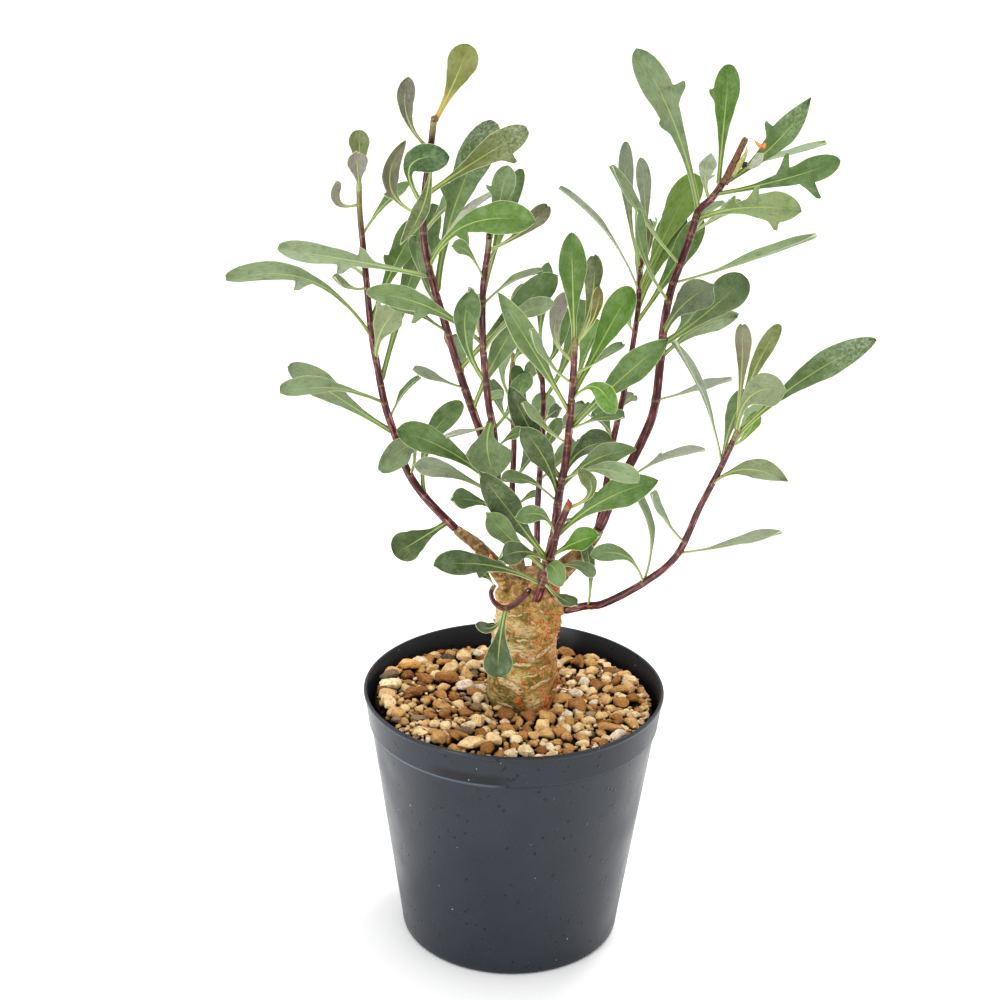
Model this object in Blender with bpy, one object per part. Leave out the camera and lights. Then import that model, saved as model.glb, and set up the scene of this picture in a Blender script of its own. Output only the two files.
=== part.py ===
"""A lobed-leaf succulent shrub with a swollen woody trunk, growing in gravel in a plain nursery pot.

Origin at the middle of the pot's foot, +Z up, the front of the plant faces -Y. Lengths are in metres.
"""
import math
import random
from collections import namedtuple

import bmesh
import bpy
from mathutils import Matrix, Vector
from mathutils.bvhtree import BVHTree
from mathutils.geometry import delaunay_2d_cdt

MM = 0.001

# Pot: a thin moulded tub with a collar round its rim
POT_HEIGHT = 107.0 * MM
RIM_RADIUS = 60.0 * MM
COLLAR_HEIGHT = 14.0 * MM
COLLAR_STEP = 0.9 * MM
LIP_HEIGHT = 1.6 * MM
LIP_ROUND = 0.4 * MM
BODY_TOP_RADIUS = 57.2 * MM
FOOT_RADIUS = 44.5 * MM
FOOT_EDGE = 2.2 * MM
WALL = 1.3 * MM
FLOOR_HEIGHT = 3.2 * MM
FOOT_RECESS = 1.4 * MM
FOOT_RING = 5.0 * MM
CENTRE_PAD_RADIUS = 14.0 * MM
DRAIN_HOLES = 6
DRAIN_RADIUS = 4.5 * MM
DRAIN_CIRCLE = 27.0 * MM
DRAIN_SIDES = 10
SHARP_ANGLE = math.radians(35.0)
POT_SIDES = 36

# Gravel: one filling with a relief of pebbles, and a plain hole that holds the trunk
GAP = 0.3 * MM
MERGE = 0.001 * MM
GRAVEL_LEVEL = 98.5 * MM
GRAVEL_RISE = 3.2 * MM
GRAVEL_BANK_LEFT = 0.07
GRAVEL_BANK_RIGHT = 0.03
PEBBLE_WIDTH = 9.6 * MM
CLOSEST = 0.86
PEBBLE_HEIGHT = 3.4 * MM
PEBBLE_SIZES = (0.75, 1.1)
SHOULDER_SIDES = 5
SHOULDER_REACH = (0.26, 0.34)
SHOULDER_HEIGHT = (0.66, 0.86)
EDGE_MARGIN = 1.6 * MM
POINT_MARGIN = 1.2 * MM
PEBBLE_TRIES = 6000
PEBBLE_SEED = 11

# Trunk: height, middle and radius in mm of its rings, from the root end up, the first two of which
# stand in the hole; and its knobs as (picture x, picture y, depth in mm, radius in mm)
TRUNK_SIDES = 14
TRUNK_RINGS = (
    (69.5, 3.0, 0.0, 12.8),
    (101.0, 3.0, 0.0, 12.8),
    (105.0, 3.1, 0.0, 13.9),
    (114.0, 3.4, 0.0, 13.6),
    (126.0, 3.9, 0.3, 12.9),
    (138.0, 4.4, 0.4, 12.2),
    (147.0, 5.2, 0.6, 12.0),
    (153.0, 5.6, 0.8, 9.8),
    (157.0, 5.8, 1.0, 5.0),
)
TRUNK_LUMPS = 0.035
LUMP_RISE = 0.21
LUMP_FALL = 0.13
KNOBS = (
    (503, 594, -5, 3.4),
    (552, 622, -4, 4.0),
    (515, 572, -6, 3.6),
    (540, 575, 3, 4.2),
    (556, 606, 4, 3.6),
)

# Where the plant is looked at from when its picture places are read
VIEW_PITCH = math.radians(21.79)
VIEW_ROLL = math.radians(0.98)
VIEW_TARGET = Vector((-6.82, 0.0, 186.8)) * MM
VIEW_DISTANCE = 800.0 * MM
VIEW_FOCUS = 2073.0
VIEW_CENTRE = 500.0

# Blades: outline as (share of the length, share of the widest half width)
BLADE_OUTLINE = ((0.0, 0.16), (0.28, 0.18), (0.53, 0.66), (0.74, 1.0), (0.92, 0.68))
BLADE_TIP = 0.18
PETIOLE_END = 0.3
MIDDLE_SHARES = (0.4, 0.6)
BLADE_THICKNESS = 0.8 * MM
LOBE_HALF_SPAN = 0.055
LOBE_CLEARING = 0.02
BEHIND_LOBE = 0.9
STEM_SIDES = 6
STEM_STEP = 15.0 * MM
WOOD_STEP = 7.0 * MM
FOOT_COLLAR = 0.25 * MM
FOOT_TAPER = 0.8
CURVE_PARTS = 8
LOWEST_LEAF = 2.6 * MM
TIP_ROUND = 0.7

# Bending clear: how far a blade's tip is swung toward or away from the front to miss its neighbours
BEND_STEP = 4.0 * MM
BEND_TRIES = 14
CLEARANCE = 0.5 * MM

Stem = namedtuple("Stem", "foot_radius base_radius tip_radius wood route")
Leaf = namedtuple("Leaf", "root mid tip toward wide turn lobes", defaults=(0, ()))

# Stems: radii in mm of the woody foot, the leafy stem's base and its tip, then the route as (picture
# x, picture y, depth in mm away from the front), whose first few points, a number given, are wood
STEMS = {
    "shoot_a": Stem(4.6, 1.7, 1.1, 3, (
        (514, 590, 0), (480, 548, -1), (456, 529, 0), (425, 497, 2), (407, 470, 4), (395, 435, 6),
        (385, 405, 8), (377, 365, 10), (371, 330, 12), (365, 265, 15), (360, 215, 17), (359, 183, 19))),
    "shoot_b": Stem(3.2, 1.8, 1.2, 3, (
        (522, 592, 2), (518, 560, 2), (511, 532, 1), (497, 480, 0), (478, 425, -3), (462, 380, -5),
        (447, 330, -7), (432, 280, -9), (424, 240, -10), (424, 200, -11), (431, 145, -12), (434, 118, -13))),
    "shoot_c": Stem(3.0, 1.6, 1.1, 3, (
        (524, 592, -5), (516, 565, -9), (509, 537, -11), (499, 495, -14), (494, 435, -17), (488, 400, -19),
        (483, 345, -22), (483, 290, -25), (488, 250, -27), (489, 235, -28))),
    "shoot_d": Stem(2.6, 1.3, 1.0, 3, (
        (527, 588, 9), (520, 565, 17), (514, 540, 21), (512, 500, 29), (514, 440, 38), (511, 385, 46),
        (514, 355, 52))),
    "shoot_e": Stem(2.6, 1.3, 1.0, 3, (
        (533, 588, 9), (536, 566, 14), (537, 545, 17), (538, 500, 21), (543, 430, 28), (543, 395, 32),
        (540, 340, 38))),
    "shoot_f": Stem(3.0, 1.8, 1.2, 3, (
        (538, 595, -2), (548, 562, -6), (554, 536, -9), (559, 495, -17), (565, 465, -21), (569, 430, -25),
        (573, 380, -31), (575, 340, -36))),
    "shoot_g": Stem(2.8, 1.8, 1.4, 2, (
        (531, 612, -7), (537, 599, -16), (541, 588, -19), (549, 560, -24), (556, 535, -28), (562, 520, -31),
        (569, 504, -33))),
    "shoot_h": Stem(3.6, 1.5, 1.0, 3, (
        (545, 592, 5), (575, 562, 12), (593, 540, 15), (602, 510, 24), (607, 480, 27), (613, 442, 32),
        (624, 392, 39), (632, 350, 45), (638, 310, 50), (639, 290, 53), (642, 256, 59))),
    "shoot_i": Stem(4.4, 2.0, 1.3, 4, (
        (545, 594, 0), (562, 568, 0), (583, 550, -1), (599, 529, -1), (615, 492, 1), (640, 445, 4),
        (654, 410, 7), (660, 365, 11), (664, 325, 13), (671, 290, 16), (681, 262, 18), (693, 228, 20),
        (699, 210, 21), (712, 198, 22), (728, 175, 24), (740, 150, 26), (745, 140, 27))),
    "shoot_j": Stem(2.8, 1.6, 1.1, 2, (
        (540, 612, -2), (565, 610, -7), (585, 606, -9), (605, 603, -16), (645, 582, -21), (677, 555, -26),
        (700, 507, -30), (722, 465, -34), (738, 430, -38))),
    "shoot_k": Stem(2.0, 1.3, 0.9, 2, (
        (531, 596, -5), (529, 591, -14), (522, 598, -17), (512, 606, -18), (503, 608, -19), (494, 602, -19),
        (491, 593, -18), (494, 586, -17))),
}

# Leaves: picture places of the root, the middle and the tip, mm that the tip comes forward, mm of
# width, degrees turned from facing the front, and lobes as (share of the length, side, mm), where
# side 1 is to the right of the leaf's way in the picture and -1 to its left
LEAVES = {
    "shoot_a": (
        Leaf((360, 190), (360, 158), (358, 130), -6, 8),
        Leaf((359, 195), (358, 174), (356, 151), 9, 8, 15),
        Leaf((359, 205), (339, 204), (336, 180), 8, 6.5, 30),
        Leaf((364, 237), (380, 210), (410, 184), -12, 6, 30),
        Leaf((365, 275), (345, 263), (311, 260), -14, 9, 50),
        Leaf((367, 290), (350, 288), (332, 277), 14, 6, 50),
        Leaf((373, 338), (306, 280), (226, 281), 8, 9.5, 42, ((0.57, -1, 4.5),)),
        Leaf((376, 358), (382, 330), (400, 306), 14, 11, 15, ((0.84, -1, 1.5),)),
        Leaf((381, 385), (404, 300), (436, 204), -30, 11, 0, ((0.8, 1, 1.5),)),
        Leaf((371, 325), (391, 273), (422, 218), -16, 10.5, 10, ((0.55, -1, 1.8),)),
        Leaf((391, 436), (335, 396), (288, 366), -12, 12, 20),
        Leaf((385, 405), (335, 389), (280, 394), 14, 10.5, 48),
        Leaf((391, 421), (402, 396), (421, 378), -14, 7, 70),
        Leaf((409, 474), (410, 446), (378, 470), 16, 12, 0),
        Leaf((425, 497), (426, 450), (463, 403), -20, 9, 10),
        Leaf((452, 527), (427, 535), (394, 555), 12, 12.5, 10),
    ),
    "shoot_b": (
        Leaf((428, 275), (355, 262), (277, 250), 8, 10, 30, ((0.45, 1, 3.4), (0.58, -1, 3.6))),
        Leaf((446, 335), (425, 318), (386, 304), 6, 8, 50),
        Leaf((428, 265), (468, 225), (536, 222), 34, 12, 20, ((0.47, 1, 4.4),)),
        Leaf((430, 262), (466, 215), (498, 192), -12, 8, 70),
        Leaf((436, 298), (455, 206), (496, 122), -18, 13, 0, ((0.56, -1, 3.0),)),
        Leaf((425, 195), (470, 165), (528, 130), -12, 10.5, 10, ((0.75, 1, 2.8),)),
        Leaf((434, 120), (452, 87), (469, 44), -4, 11, 0),
        Leaf((430, 150), (408, 120), (408, 76), 4, 7, 15),
        Leaf((424, 205), (412, 164), (450, 157), 2, 11, 20),
        Leaf((424, 215), (392, 192), (406, 140), -6, 6.5, 20, ((0.42, -1, 1.4),)),
        Leaf((431, 150), (424, 205), (400, 246), 22, 6.5, 20),
        Leaf((464, 388), (440, 380), (412, 370), 14, 6, 50),
        Leaf((460, 372), (505, 322), (558, 275), 14, 11, 10),
        Leaf((474, 412), (494, 362), (522, 315), 20, 10, 10),
        Leaf((428, 230), (446, 208), (466, 196), -30, 10, 50),
        Leaf((440, 310), (420, 272), (416, 240), -36, 11, 50),
        Leaf((470, 400), (456, 362), (450, 336), -34, 11, 50),
    ),
    "shoot_c": (
        Leaf((482, 344), (430, 308), (366, 293), 8, 9, 20, ((0.58, -1, 4.4),)),
        Leaf((485, 385), (466, 340), (471, 288), 8, 10, 10),
        Leaf((483, 300), (498, 240), (523, 169), -12, 7, 20),
        Leaf((488, 252), (499, 205), (508, 165), -2, 8.5, 10, ((0.7, -1, 2.0),)),
        Leaf((488, 250), (522, 232), (548, 206), -14, 7, 20),
        Leaf((485, 278), (465, 250), (451, 246), 16, 5.5, 30),
        Leaf((483, 305), (508, 284), (543, 272), -10, 7, 65),
        Leaf((484, 352), (515, 318), (555, 305), -14, 8, 45),
        Leaf((490, 418), (490, 402), (504, 394), -8, 5, 30),
        Leaf((489, 420), (487, 447), (496, 478), 16, 18, 10),
        Leaf((497, 490), (445, 449), (396, 430), 8, 11, 10),
        Leaf((499, 497), (446, 471), (413, 465), 16, 7.5, 15),
        Leaf((502, 510), (470, 500), (450, 500), 24, 8, 20),
        Leaf((492, 425), (468, 432), (446, 438), 8, 6, 70),
        Leaf((495, 450), (511, 437), (524, 431), 12, 5, 40),
        Leaf((486, 265), (512, 212), (516, 182), -32, 9, 50),
        Leaf((484, 345), (474, 312), (474, 294), -38, 10, 50),
        Leaf((492, 430), (518, 397), (528, 374), -12, 10, 50),
    ),
    "shoot_d": (
        Leaf((514, 362), (519, 352), (524, 346), 6, 4, 20),
        Leaf((511, 392), (527, 378), (536, 360), 8, 6, 20),
        Leaf((512, 508), (528, 498), (541, 492), -4, 5, 50),
        Leaf((513, 360), (510, 338), (517, 306), -8, 9, 10),
        Leaf((511, 400), (500, 365), (506, 335), -30, 10, 45),
        Leaf((514, 440), (535, 418), (548, 395), -24, 10, 20),
        Leaf((514, 425), (496, 402), (490, 380), -28, 10, 50),
        Leaf((512, 480), (528, 462), (540, 440), -34, 10, 50),
        Leaf((512, 500), (494, 472), (488, 446), -34, 10, 50),
    ),
    "shoot_e": (
        Leaf((543, 425), (552, 414), (562, 408), 10, 6, 30),
        Leaf((542, 470), (550, 440), (562, 418), 8, 6, 20),
        Leaf((541, 348), (541, 322), (549, 262), 2, 7, 15),
        Leaf((542, 365), (556, 350), (560, 300), -10, 8, 10),
        Leaf((543, 400), (570, 350), (584, 300), -18, 9, 10),
        Leaf((542, 360), (520, 320), (528, 285), -16, 9, 10),
        Leaf((543, 385), (532, 354), (526, 336), -28, 9, 50),
        Leaf((542, 440), (568, 424), (586, 404), -26, 10, 50),
        Leaf((540, 480), (560, 462), (576, 442), -32, 10, 50),
        Leaf((543, 420), (520, 395), (515, 365), -24, 9, 50),
    ),
    "shoot_f": (
        Leaf((574, 350), (573, 300), (571, 232), -6, 10.5, 10),
        Leaf((575, 345), (592, 322), (600, 286), 4, 4.8, 20),
        Leaf((573, 395), (600, 345), (632, 287), -8, 11, 10),
        Leaf((574, 362), (556, 340), (566, 292), -10, 6, 20),
        Leaf((571, 412), (533, 350), (497, 292), 6, 9, 10),
        Leaf((573, 385), (548, 362), (529, 330), 14, 7, 60),
        Leaf((574, 375), (600, 360), (624, 345), -14, 7, 60),
        Leaf((569, 430), (620, 380), (669, 339), 4, 11, 10),
        Leaf((572, 401), (597, 388), (615, 414), 18, 8, 20),
        Leaf((569, 432), (600, 419), (625, 418), 14, 7, 60),
        Leaf((567, 445), (545, 428), (521, 403), 6, 5.5, 40),
        Leaf((563, 478), (583, 450), (610, 444), -10, 12, 20),
        Leaf((562, 487), (597, 459), (637, 450), 8, 9, 20),
        Leaf((561, 480), (600, 470), (639, 483), 20, 9, 45),
        Leaf((558, 500), (544, 458), (520, 427), 16, 10, 0),
        Leaf((562, 480), (528, 425), (509, 386), 2, 9.5, 0),
        Leaf((558, 503), (528, 482), (501, 481), 22, 7, 60),
        Leaf((575, 348), (592, 300), (594, 256), -26, 7.5, 20),
        Leaf((572, 395), (588, 350), (602, 322), -36, 10, 50),
    ),
    "shoot_g": (
        Leaf((556, 537), (610, 497), (659, 480), 10, 12, 0),
        Leaf((551, 556), (580, 541), (602, 535), 14, 9, 20),
        Leaf((556, 536), (538, 514), (514, 518), 16, 7, 10),
        Leaf((567, 510), (592, 490), (580, 467), -8, 7, 20),
        Leaf((563, 520), (587, 512), (599, 495), -18, 8, 20),
        Leaf((548, 562), (510, 512), (478, 470), 16, 11.5, 0),
        Leaf((546, 570), (510, 538), (486, 512), 24, 9, 0),
        Leaf((543, 583), (484, 565), (433, 566), 26, 10, 20, ((0.62, -1, 2.0),)),
        Leaf((545, 578), (552, 566), (563, 586), 16, 8, 20),
        Leaf((544, 580), (560, 598), (578, 606), 14, 6, 30),
        Leaf((546, 572), (578, 566), (594, 577), 4, 6, 40),
        Leaf((549, 560), (520, 552), (498, 560), 34, 9, 30),
    ),
    "shoot_h": (
        Leaf((642, 260), (645, 210), (640, 157), 4, 6.2, 20),
        Leaf((640, 270), (627, 200), (625, 141), -6, 6.5, 20),
        Leaf((639, 290), (603, 228), (558, 188), 0, 6.5, 70),
        Leaf((638, 308), (657, 262), (682, 211), -10, 12, 10),
        Leaf((638, 322), (672, 270), (703, 218), 6, 10, 20),
        Leaf((640, 292), (670, 225), (697, 174), -12, 12.5, 10),
        Leaf((641, 275), (649, 248), (651, 218), 10, 4, 20),
        Leaf((619, 425), (607, 408), (592, 405), 10, 8, 10),
        Leaf((620, 410), (626, 402), (634, 396), -4, 6, 20),
        Leaf((636, 335), (626, 318), (622, 300), -38, 9, 50),
        Leaf((614, 440), (604, 425), (590, 416), -38, 10, 50),
        Leaf((640, 300), (642, 255), (656, 222), -34, 10, 50),
    ),
    "shoot_i": (
        Leaf((698, 212), (679, 136), (636, 48), 0, 11.5, 0, ((0.7, 1, 4.2), (0.56, -1, 1.4))),
        Leaf((720, 190), (724, 125), (730, 64), -8, 10, 10, ((0.76, -1, 1.4),)),
        Leaf((712, 199), (705, 178), (711, 152), 10, 7, 10, ((0.5, 1, 1.8),)),
        Leaf((722, 187), (771, 148), (812, 98), -14, 10, 10, ((0.6, -1, 3.2),)),
        Leaf((733, 170), (775, 158), (827, 144), -24, 8, 70),
        Leaf((735, 162), (752, 166), (764, 153), 8, 5.5, 30),
        Leaf((714, 197), (775, 182), (841, 161), 10, 10, 25, ((0.58, -1, 5.5), (0.74, 1, 6.0))),
        Leaf((696, 220), (745, 208), (802, 212), 20, 12, 15,
             ((0.36, -1, 3.0), (0.58, -1, 3.2), (0.8, 1, 2.4))),
        Leaf((693, 232), (716, 218), (742, 202), -16, 6, 30),
        Leaf((679, 266), (645, 222), (609, 166), 14, 7.5, 50),
        Leaf((669, 300), (643, 255), (636, 209), 24, 7.5, 50),
        Leaf((663, 333), (684, 304), (714, 284), 22, 13, 0),
        Leaf((663, 345), (710, 310), (745, 276), -6, 13.5, 10),
        Leaf((674, 282), (745, 262), (818, 237), 4, 9, 66),
        Leaf((661, 360), (700, 328), (737, 317), -22, 9, 10),
        Leaf((656, 400), (695, 390), (733, 380), 6, 8, 70),
        Leaf((618, 488), (668, 458), (706, 451), 10, 7, 66, ((0.5, -1, 2.0),)),
        Leaf((613, 496), (622, 480), (620, 466), 8, 5.5, 20),
        Leaf((690, 235), (706, 214), (726, 204), -38, 10, 50),
        Leaf((662, 345), (688, 322), (700, 300), -34, 11, 50),
    ),
    "shoot_j": (
        Leaf((588, 606), (590, 570), (583, 537), -8, 5.5, 20),
        Leaf((645, 582), (622, 555), (590, 555), 12, 7, 30),
        Leaf((644, 583), (651, 545), (634, 492), -8, 8, 66),
        Leaf((684, 543), (664, 518), (650, 493), 10, 8, 66),
        Leaf((677, 555), (730, 545), (783, 533), 12, 8.5, 60),
        Leaf((712, 484), (745, 470), (788, 483), 16, 9, 30),
        Leaf((722, 465), (702, 395), (671, 342), -8, 8, 70),
        Leaf((722, 466), (729, 432), (748, 390), -4, 8, 20),
        Leaf((737, 432), (757, 392), (787, 391), 20, 12.5, 10),
        Leaf((732, 445), (746, 436), (757, 412), -14, 6, 20),
        Leaf((735, 438), (803, 380), (877, 340), 6, 10.5, 15),
        Leaf((738, 430), (742, 360), (742, 325), -16, 6.5, 15),
        Leaf((738, 432), (754, 373), (781, 325), -10, 6.5, 15),
        Leaf((730, 450), (748, 425), (768, 404), -34, 10, 50),
    ),
    "shoot_k": (
        Leaf((503, 608), (500, 640), (498, 677), 10, 11.5, 0),
        Leaf((506, 608), (492, 628), (475, 624), 6, 5, 20),
        Leaf((493, 590), (486, 576), (478, 572), 2, 4, 30),
    ),
}


def seen(across, down, depth):
    """The real place that shows at a picture point, at a depth in metres away from the front."""
    right_px = across - VIEW_CENTRE
    up_px = VIEW_CENTRE - down
    x = math.cos(VIEW_ROLL) * right_px - math.sin(VIEW_ROLL) * up_px
    y = math.sin(VIEW_ROLL) * right_px + math.cos(VIEW_ROLL) * up_px
    forward = Vector((0.0, math.cos(VIEW_PITCH), -math.sin(VIEW_PITCH)))
    upward = Vector((0.0, math.sin(VIEW_PITCH), math.cos(VIEW_PITCH)))
    eye = VIEW_TARGET - forward * VIEW_DISTANCE
    ray = Vector((x / VIEW_FOCUS, 0.0, 0.0)) + upward * (y / VIEW_FOCUS) + forward
    return eye + ray * ((depth - eye.y) / ray.y)


def clear_file():
    """Empty the file of everything that it opened with."""
    for thing in list(bpy.data.objects):
        bpy.data.objects.remove(thing, do_unlink=True)


def finish_material(name, colour, roughness):
    """A plain material with one colour."""
    material = bpy.data.materials.new(name)
    material.use_nodes = True
    shader = material.node_tree.nodes["Principled BSDF"]
    shader.inputs["Base Color"].default_value = (*colour, 1.0)
    shader.inputs["Roughness"].default_value = roughness
    shader.inputs["Metallic"].default_value = 0.0
    return material


def add_object(name, mesh):
    """An object that holds a finished mesh."""
    thing = bpy.data.objects.new(name, mesh)
    bpy.context.scene.collection.objects.link(thing)
    return thing


def mesh_from(name, points, faces):
    """A mesh from points and faces, with all its faces pointing out."""
    mesh = bpy.data.meshes.new(name)
    mesh.from_pydata(points, [], faces)
    work = bmesh.new()
    work.from_mesh(mesh)
    bmesh.ops.recalc_face_normals(work, faces=work.faces)
    work.to_mesh(mesh)
    work.free()
    return mesh


def turned(name, profile, sides):
    """A closed solid turned about +Z from a closed profile of (radius, height) points."""
    points = []
    faces = []
    rings = []
    for radius, height in profile:
        if radius == 0.0:
            rings.append([len(points)])
            points.append((0.0, 0.0, height))
            continue
        rings.append(list(range(len(points), len(points) + sides)))
        for side in range(sides):
            angle = 2.0 * math.pi * side / sides
            points.append((radius * math.cos(angle), radius * math.sin(angle), height))
    for ring, after in zip(rings, rings[1:]):
        for side in range(sides):
            beside = (side + 1) % sides
            if len(ring) == 1:
                faces.append((ring[0], after[side], after[beside]))
            elif len(after) == 1:
                faces.append((ring[side], ring[beside], after[0]))
            else:
                faces.append((ring[side], ring[beside], after[beside], after[side]))
    return mesh_from(name, points, faces)


def tube(name, places, radii, sides, first_along=None, last_along=None):
    """A closed tube with flat ends through a row of places, its rings square to its path."""
    points = []
    faces = []
    normal = Vector((0.0, -1.0, 0.0))
    for number, (place, radius) in enumerate(zip(places, radii)):
        ahead = places[min(number + 1, len(places) - 1)]
        behind = places[max(number - 1, 0)]
        along = (ahead - behind).normalized()
        if number == 0 and first_along:
            along = first_along
        if number == len(places) - 1 and last_along:
            along = last_along
        normal = (normal - along * normal.dot(along)).normalized()
        across = along.cross(normal)
        for side in range(sides):
            angle = 2.0 * math.pi * side / sides
            points.append(place + (normal * math.cos(angle) + across * math.sin(angle)) * radius)
    for ring in range(len(places) - 1):
        for side in range(sides):
            beside = (side + 1) % sides
            first = ring * sides
            after = first + sides
            faces.append((first + side, first + beside, after + beside, after + side))
    faces.append(tuple(range(sides)))
    last = (len(places) - 1) * sides
    faces.append(tuple(range(last, last + sides)))
    return mesh_from(name, points, faces)


def smooth_curve(knots):
    """Closely spaced places along a smooth curve through the knots, CURVE_PARTS to each span."""
    dense = []
    last = len(knots) - 1
    for number in range(last):
        before = knots[max(number - 1, 0)]
        here = knots[number]
        there = knots[number + 1]
        beyond = knots[min(number + 2, last)]
        for part in range(CURVE_PARTS):
            t = part / CURVE_PARTS
            dense.append(0.5 * (2.0 * here + (there - before) * t
                                + (2.0 * before - 5.0 * here + 4.0 * there - beyond) * t * t
                                + (3.0 * here - before - 3.0 * there + beyond) * t ** 3))
    dense.append(knots[-1])
    return dense


def evenly(places, step):
    """Evenly spaced places along a row of places, about a step apart."""
    reach = [0.0]
    for here, there in zip(places, places[1:]):
        reach.append(reach[-1] + (there - here).length)
    count = max(2, round(reach[-1] / step))
    path = []
    spot = 0
    for number in range(count + 1):
        goal = reach[-1] * number / count
        while spot < len(reach) - 2 and reach[spot + 1] < goal:
            spot += 1
        share = (goal - reach[spot]) / (reach[spot + 1] - reach[spot])
        path.append(places[spot].lerp(places[spot + 1], min(max(share, 0.0), 1.0)))
    return path


def united(name, bodies, material, solver="MANIFOLD"):
    """One solid from many bodies, joined by one Boolean union on their collection."""
    first = add_object(name, bodies[0])
    group = bpy.data.collections.new(name + "_bodies")
    bpy.context.scene.collection.children.link(group)
    for number, mesh in enumerate(bodies[1:]):
        thing = bpy.data.objects.new(f"{name}_body_{number}", mesh)
        group.objects.link(thing)
    union = first.modifiers.new("union", "BOOLEAN")
    union.operation = "UNION"
    union.operand_type = "COLLECTION"
    union.collection = group
    union.solver = solver
    bpy.context.view_layer.update()
    graph = bpy.context.evaluated_depsgraph_get()
    joined = bpy.data.meshes.new_from_object(first.evaluated_get(graph))
    first.modifiers.clear()
    first.data = joined
    for thing in list(group.objects):
        bpy.data.objects.remove(thing, do_unlink=True)
    bpy.data.collections.remove(group)
    joined.materials.clear()
    joined.materials.append(material)
    return first


def clean_solid(thing):
    """Merge doubled points, fill hollows that the union sealed and drop loose scraps."""
    work = bmesh.new()
    work.from_mesh(thing.data)
    bmesh.ops.remove_doubles(work, verts=work.verts, dist=MERGE)
    bmesh.ops.triangulate(work, faces=work.faces)
    groups = []
    left = set(work.faces)
    while left:
        start = left.pop()
        group = {start}
        front = [start]
        while front:
            face = front.pop()
            for edge in face.edges:
                for other in edge.link_faces:
                    if other in left:
                        left.discard(other)
                        group.add(other)
                        front.append(other)
        groups.append(group)
    groups.sort(key=len, reverse=True)
    spare = [face for group in groups[1:] for face in group]
    bmesh.ops.delete(work, geom=spare, context="FACES")
    loose = [vert for vert in work.verts if not vert.link_faces]
    bmesh.ops.delete(work, geom=loose, context="VERTS")
    work.to_mesh(thing.data)
    work.free()


def make_pot():
    """The pot: foot ring, recessed bottom with a centre pad, tapered wall and flared collar."""
    collar_foot = POT_HEIGHT - COLLAR_HEIGHT
    wall_top = BODY_TOP_RADIUS + COLLAR_STEP - WALL
    profile = [
        (0.0, 0.0),
        (CENTRE_PAD_RADIUS, 0.0),
        (CENTRE_PAD_RADIUS, FOOT_RECESS),
        (FOOT_RADIUS - FOOT_RING, FOOT_RECESS),
        (FOOT_RADIUS - FOOT_RING, 0.0),
        (FOOT_RADIUS - FOOT_EDGE, 0.0),
        (FOOT_RADIUS, FOOT_EDGE),
        (BODY_TOP_RADIUS, collar_foot),
        (BODY_TOP_RADIUS + COLLAR_STEP, collar_foot + COLLAR_STEP),
        (RIM_RADIUS - LIP_ROUND, POT_HEIGHT - LIP_HEIGHT),
        (RIM_RADIUS, POT_HEIGHT - 0.5 * LIP_HEIGHT),
        (RIM_RADIUS - LIP_ROUND, POT_HEIGHT),
        (RIM_RADIUS - WALL, POT_HEIGHT),
        (wall_top, collar_foot + COLLAR_STEP),
        (BODY_TOP_RADIUS - WALL, collar_foot),
        (FOOT_RADIUS - WALL, FLOOR_HEIGHT),
        (0.0, FLOOR_HEIGHT),
    ]
    pot = add_object("pot", turned("pot", profile, POT_SIDES))
    drill = bmesh.new()
    for number in range(DRAIN_HOLES):
        angle = 2.0 * math.pi * (number + 0.5) / DRAIN_HOLES
        place = Vector((math.cos(angle), math.sin(angle), 0.0)) * DRAIN_CIRCLE
        bmesh.ops.create_cone(drill, cap_ends=True, segments=DRAIN_SIDES, radius1=DRAIN_RADIUS,
                              radius2=DRAIN_RADIUS, depth=4.0 * FLOOR_HEIGHT,
                              matrix=Matrix.Translation(place))
    mesh = bpy.data.meshes.new("drain_drill")
    drill.to_mesh(mesh)
    drill.free()
    cutter = add_object("drain_drill", mesh)
    cutter.hide_render = True
    cutter.display_type = "WIRE"
    cut = pot.modifiers.new("drain_holes", "BOOLEAN")
    cut.operation = "DIFFERENCE"
    cut.object = cutter
    cut.solver = "EXACT"
    pot.data.materials.append(finish_material("pot_plastic", (0.035, 0.04, 0.055), 0.38))
    pot.data.shade_smooth()
    pot.data.set_sharp_from_angle(angle=SHARP_ANGLE)


def gravel_height(x, y):
    """Level of the hollows between the pebbles: a little higher round the trunk and up the sides."""
    share = min(math.hypot(x, y) / (BODY_TOP_RADIUS - WALL), 1.0)
    bank = max(-GRAVEL_BANK_LEFT * x, GRAVEL_BANK_RIGHT * x)
    return GRAVEL_LEVEL + GRAVEL_RISE * (1.0 - share) + bank


def spread_pebbles(rng, hole_middle, hole_radius, outer):
    """Middles of the pebbles, drawn at random and kept a pebble's width apart."""
    middles = []
    for _ in range(PEBBLE_TRIES):
        angle = rng.uniform(0.0, 2.0 * math.pi)
        radius = outer * math.sqrt(rng.random())
        spot = Vector((radius * math.cos(angle), radius * math.sin(angle)))
        near_hole = (spot - hole_middle).length < hole_radius + 0.5 * PEBBLE_WIDTH
        near_wall = spot.length > outer - 0.5 * PEBBLE_WIDTH
        if near_hole or near_wall:
            continue
        if all((spot - other).length > PEBBLE_WIDTH * CLOSEST for other in middles):
            middles.append(spot)
    return middles


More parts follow.
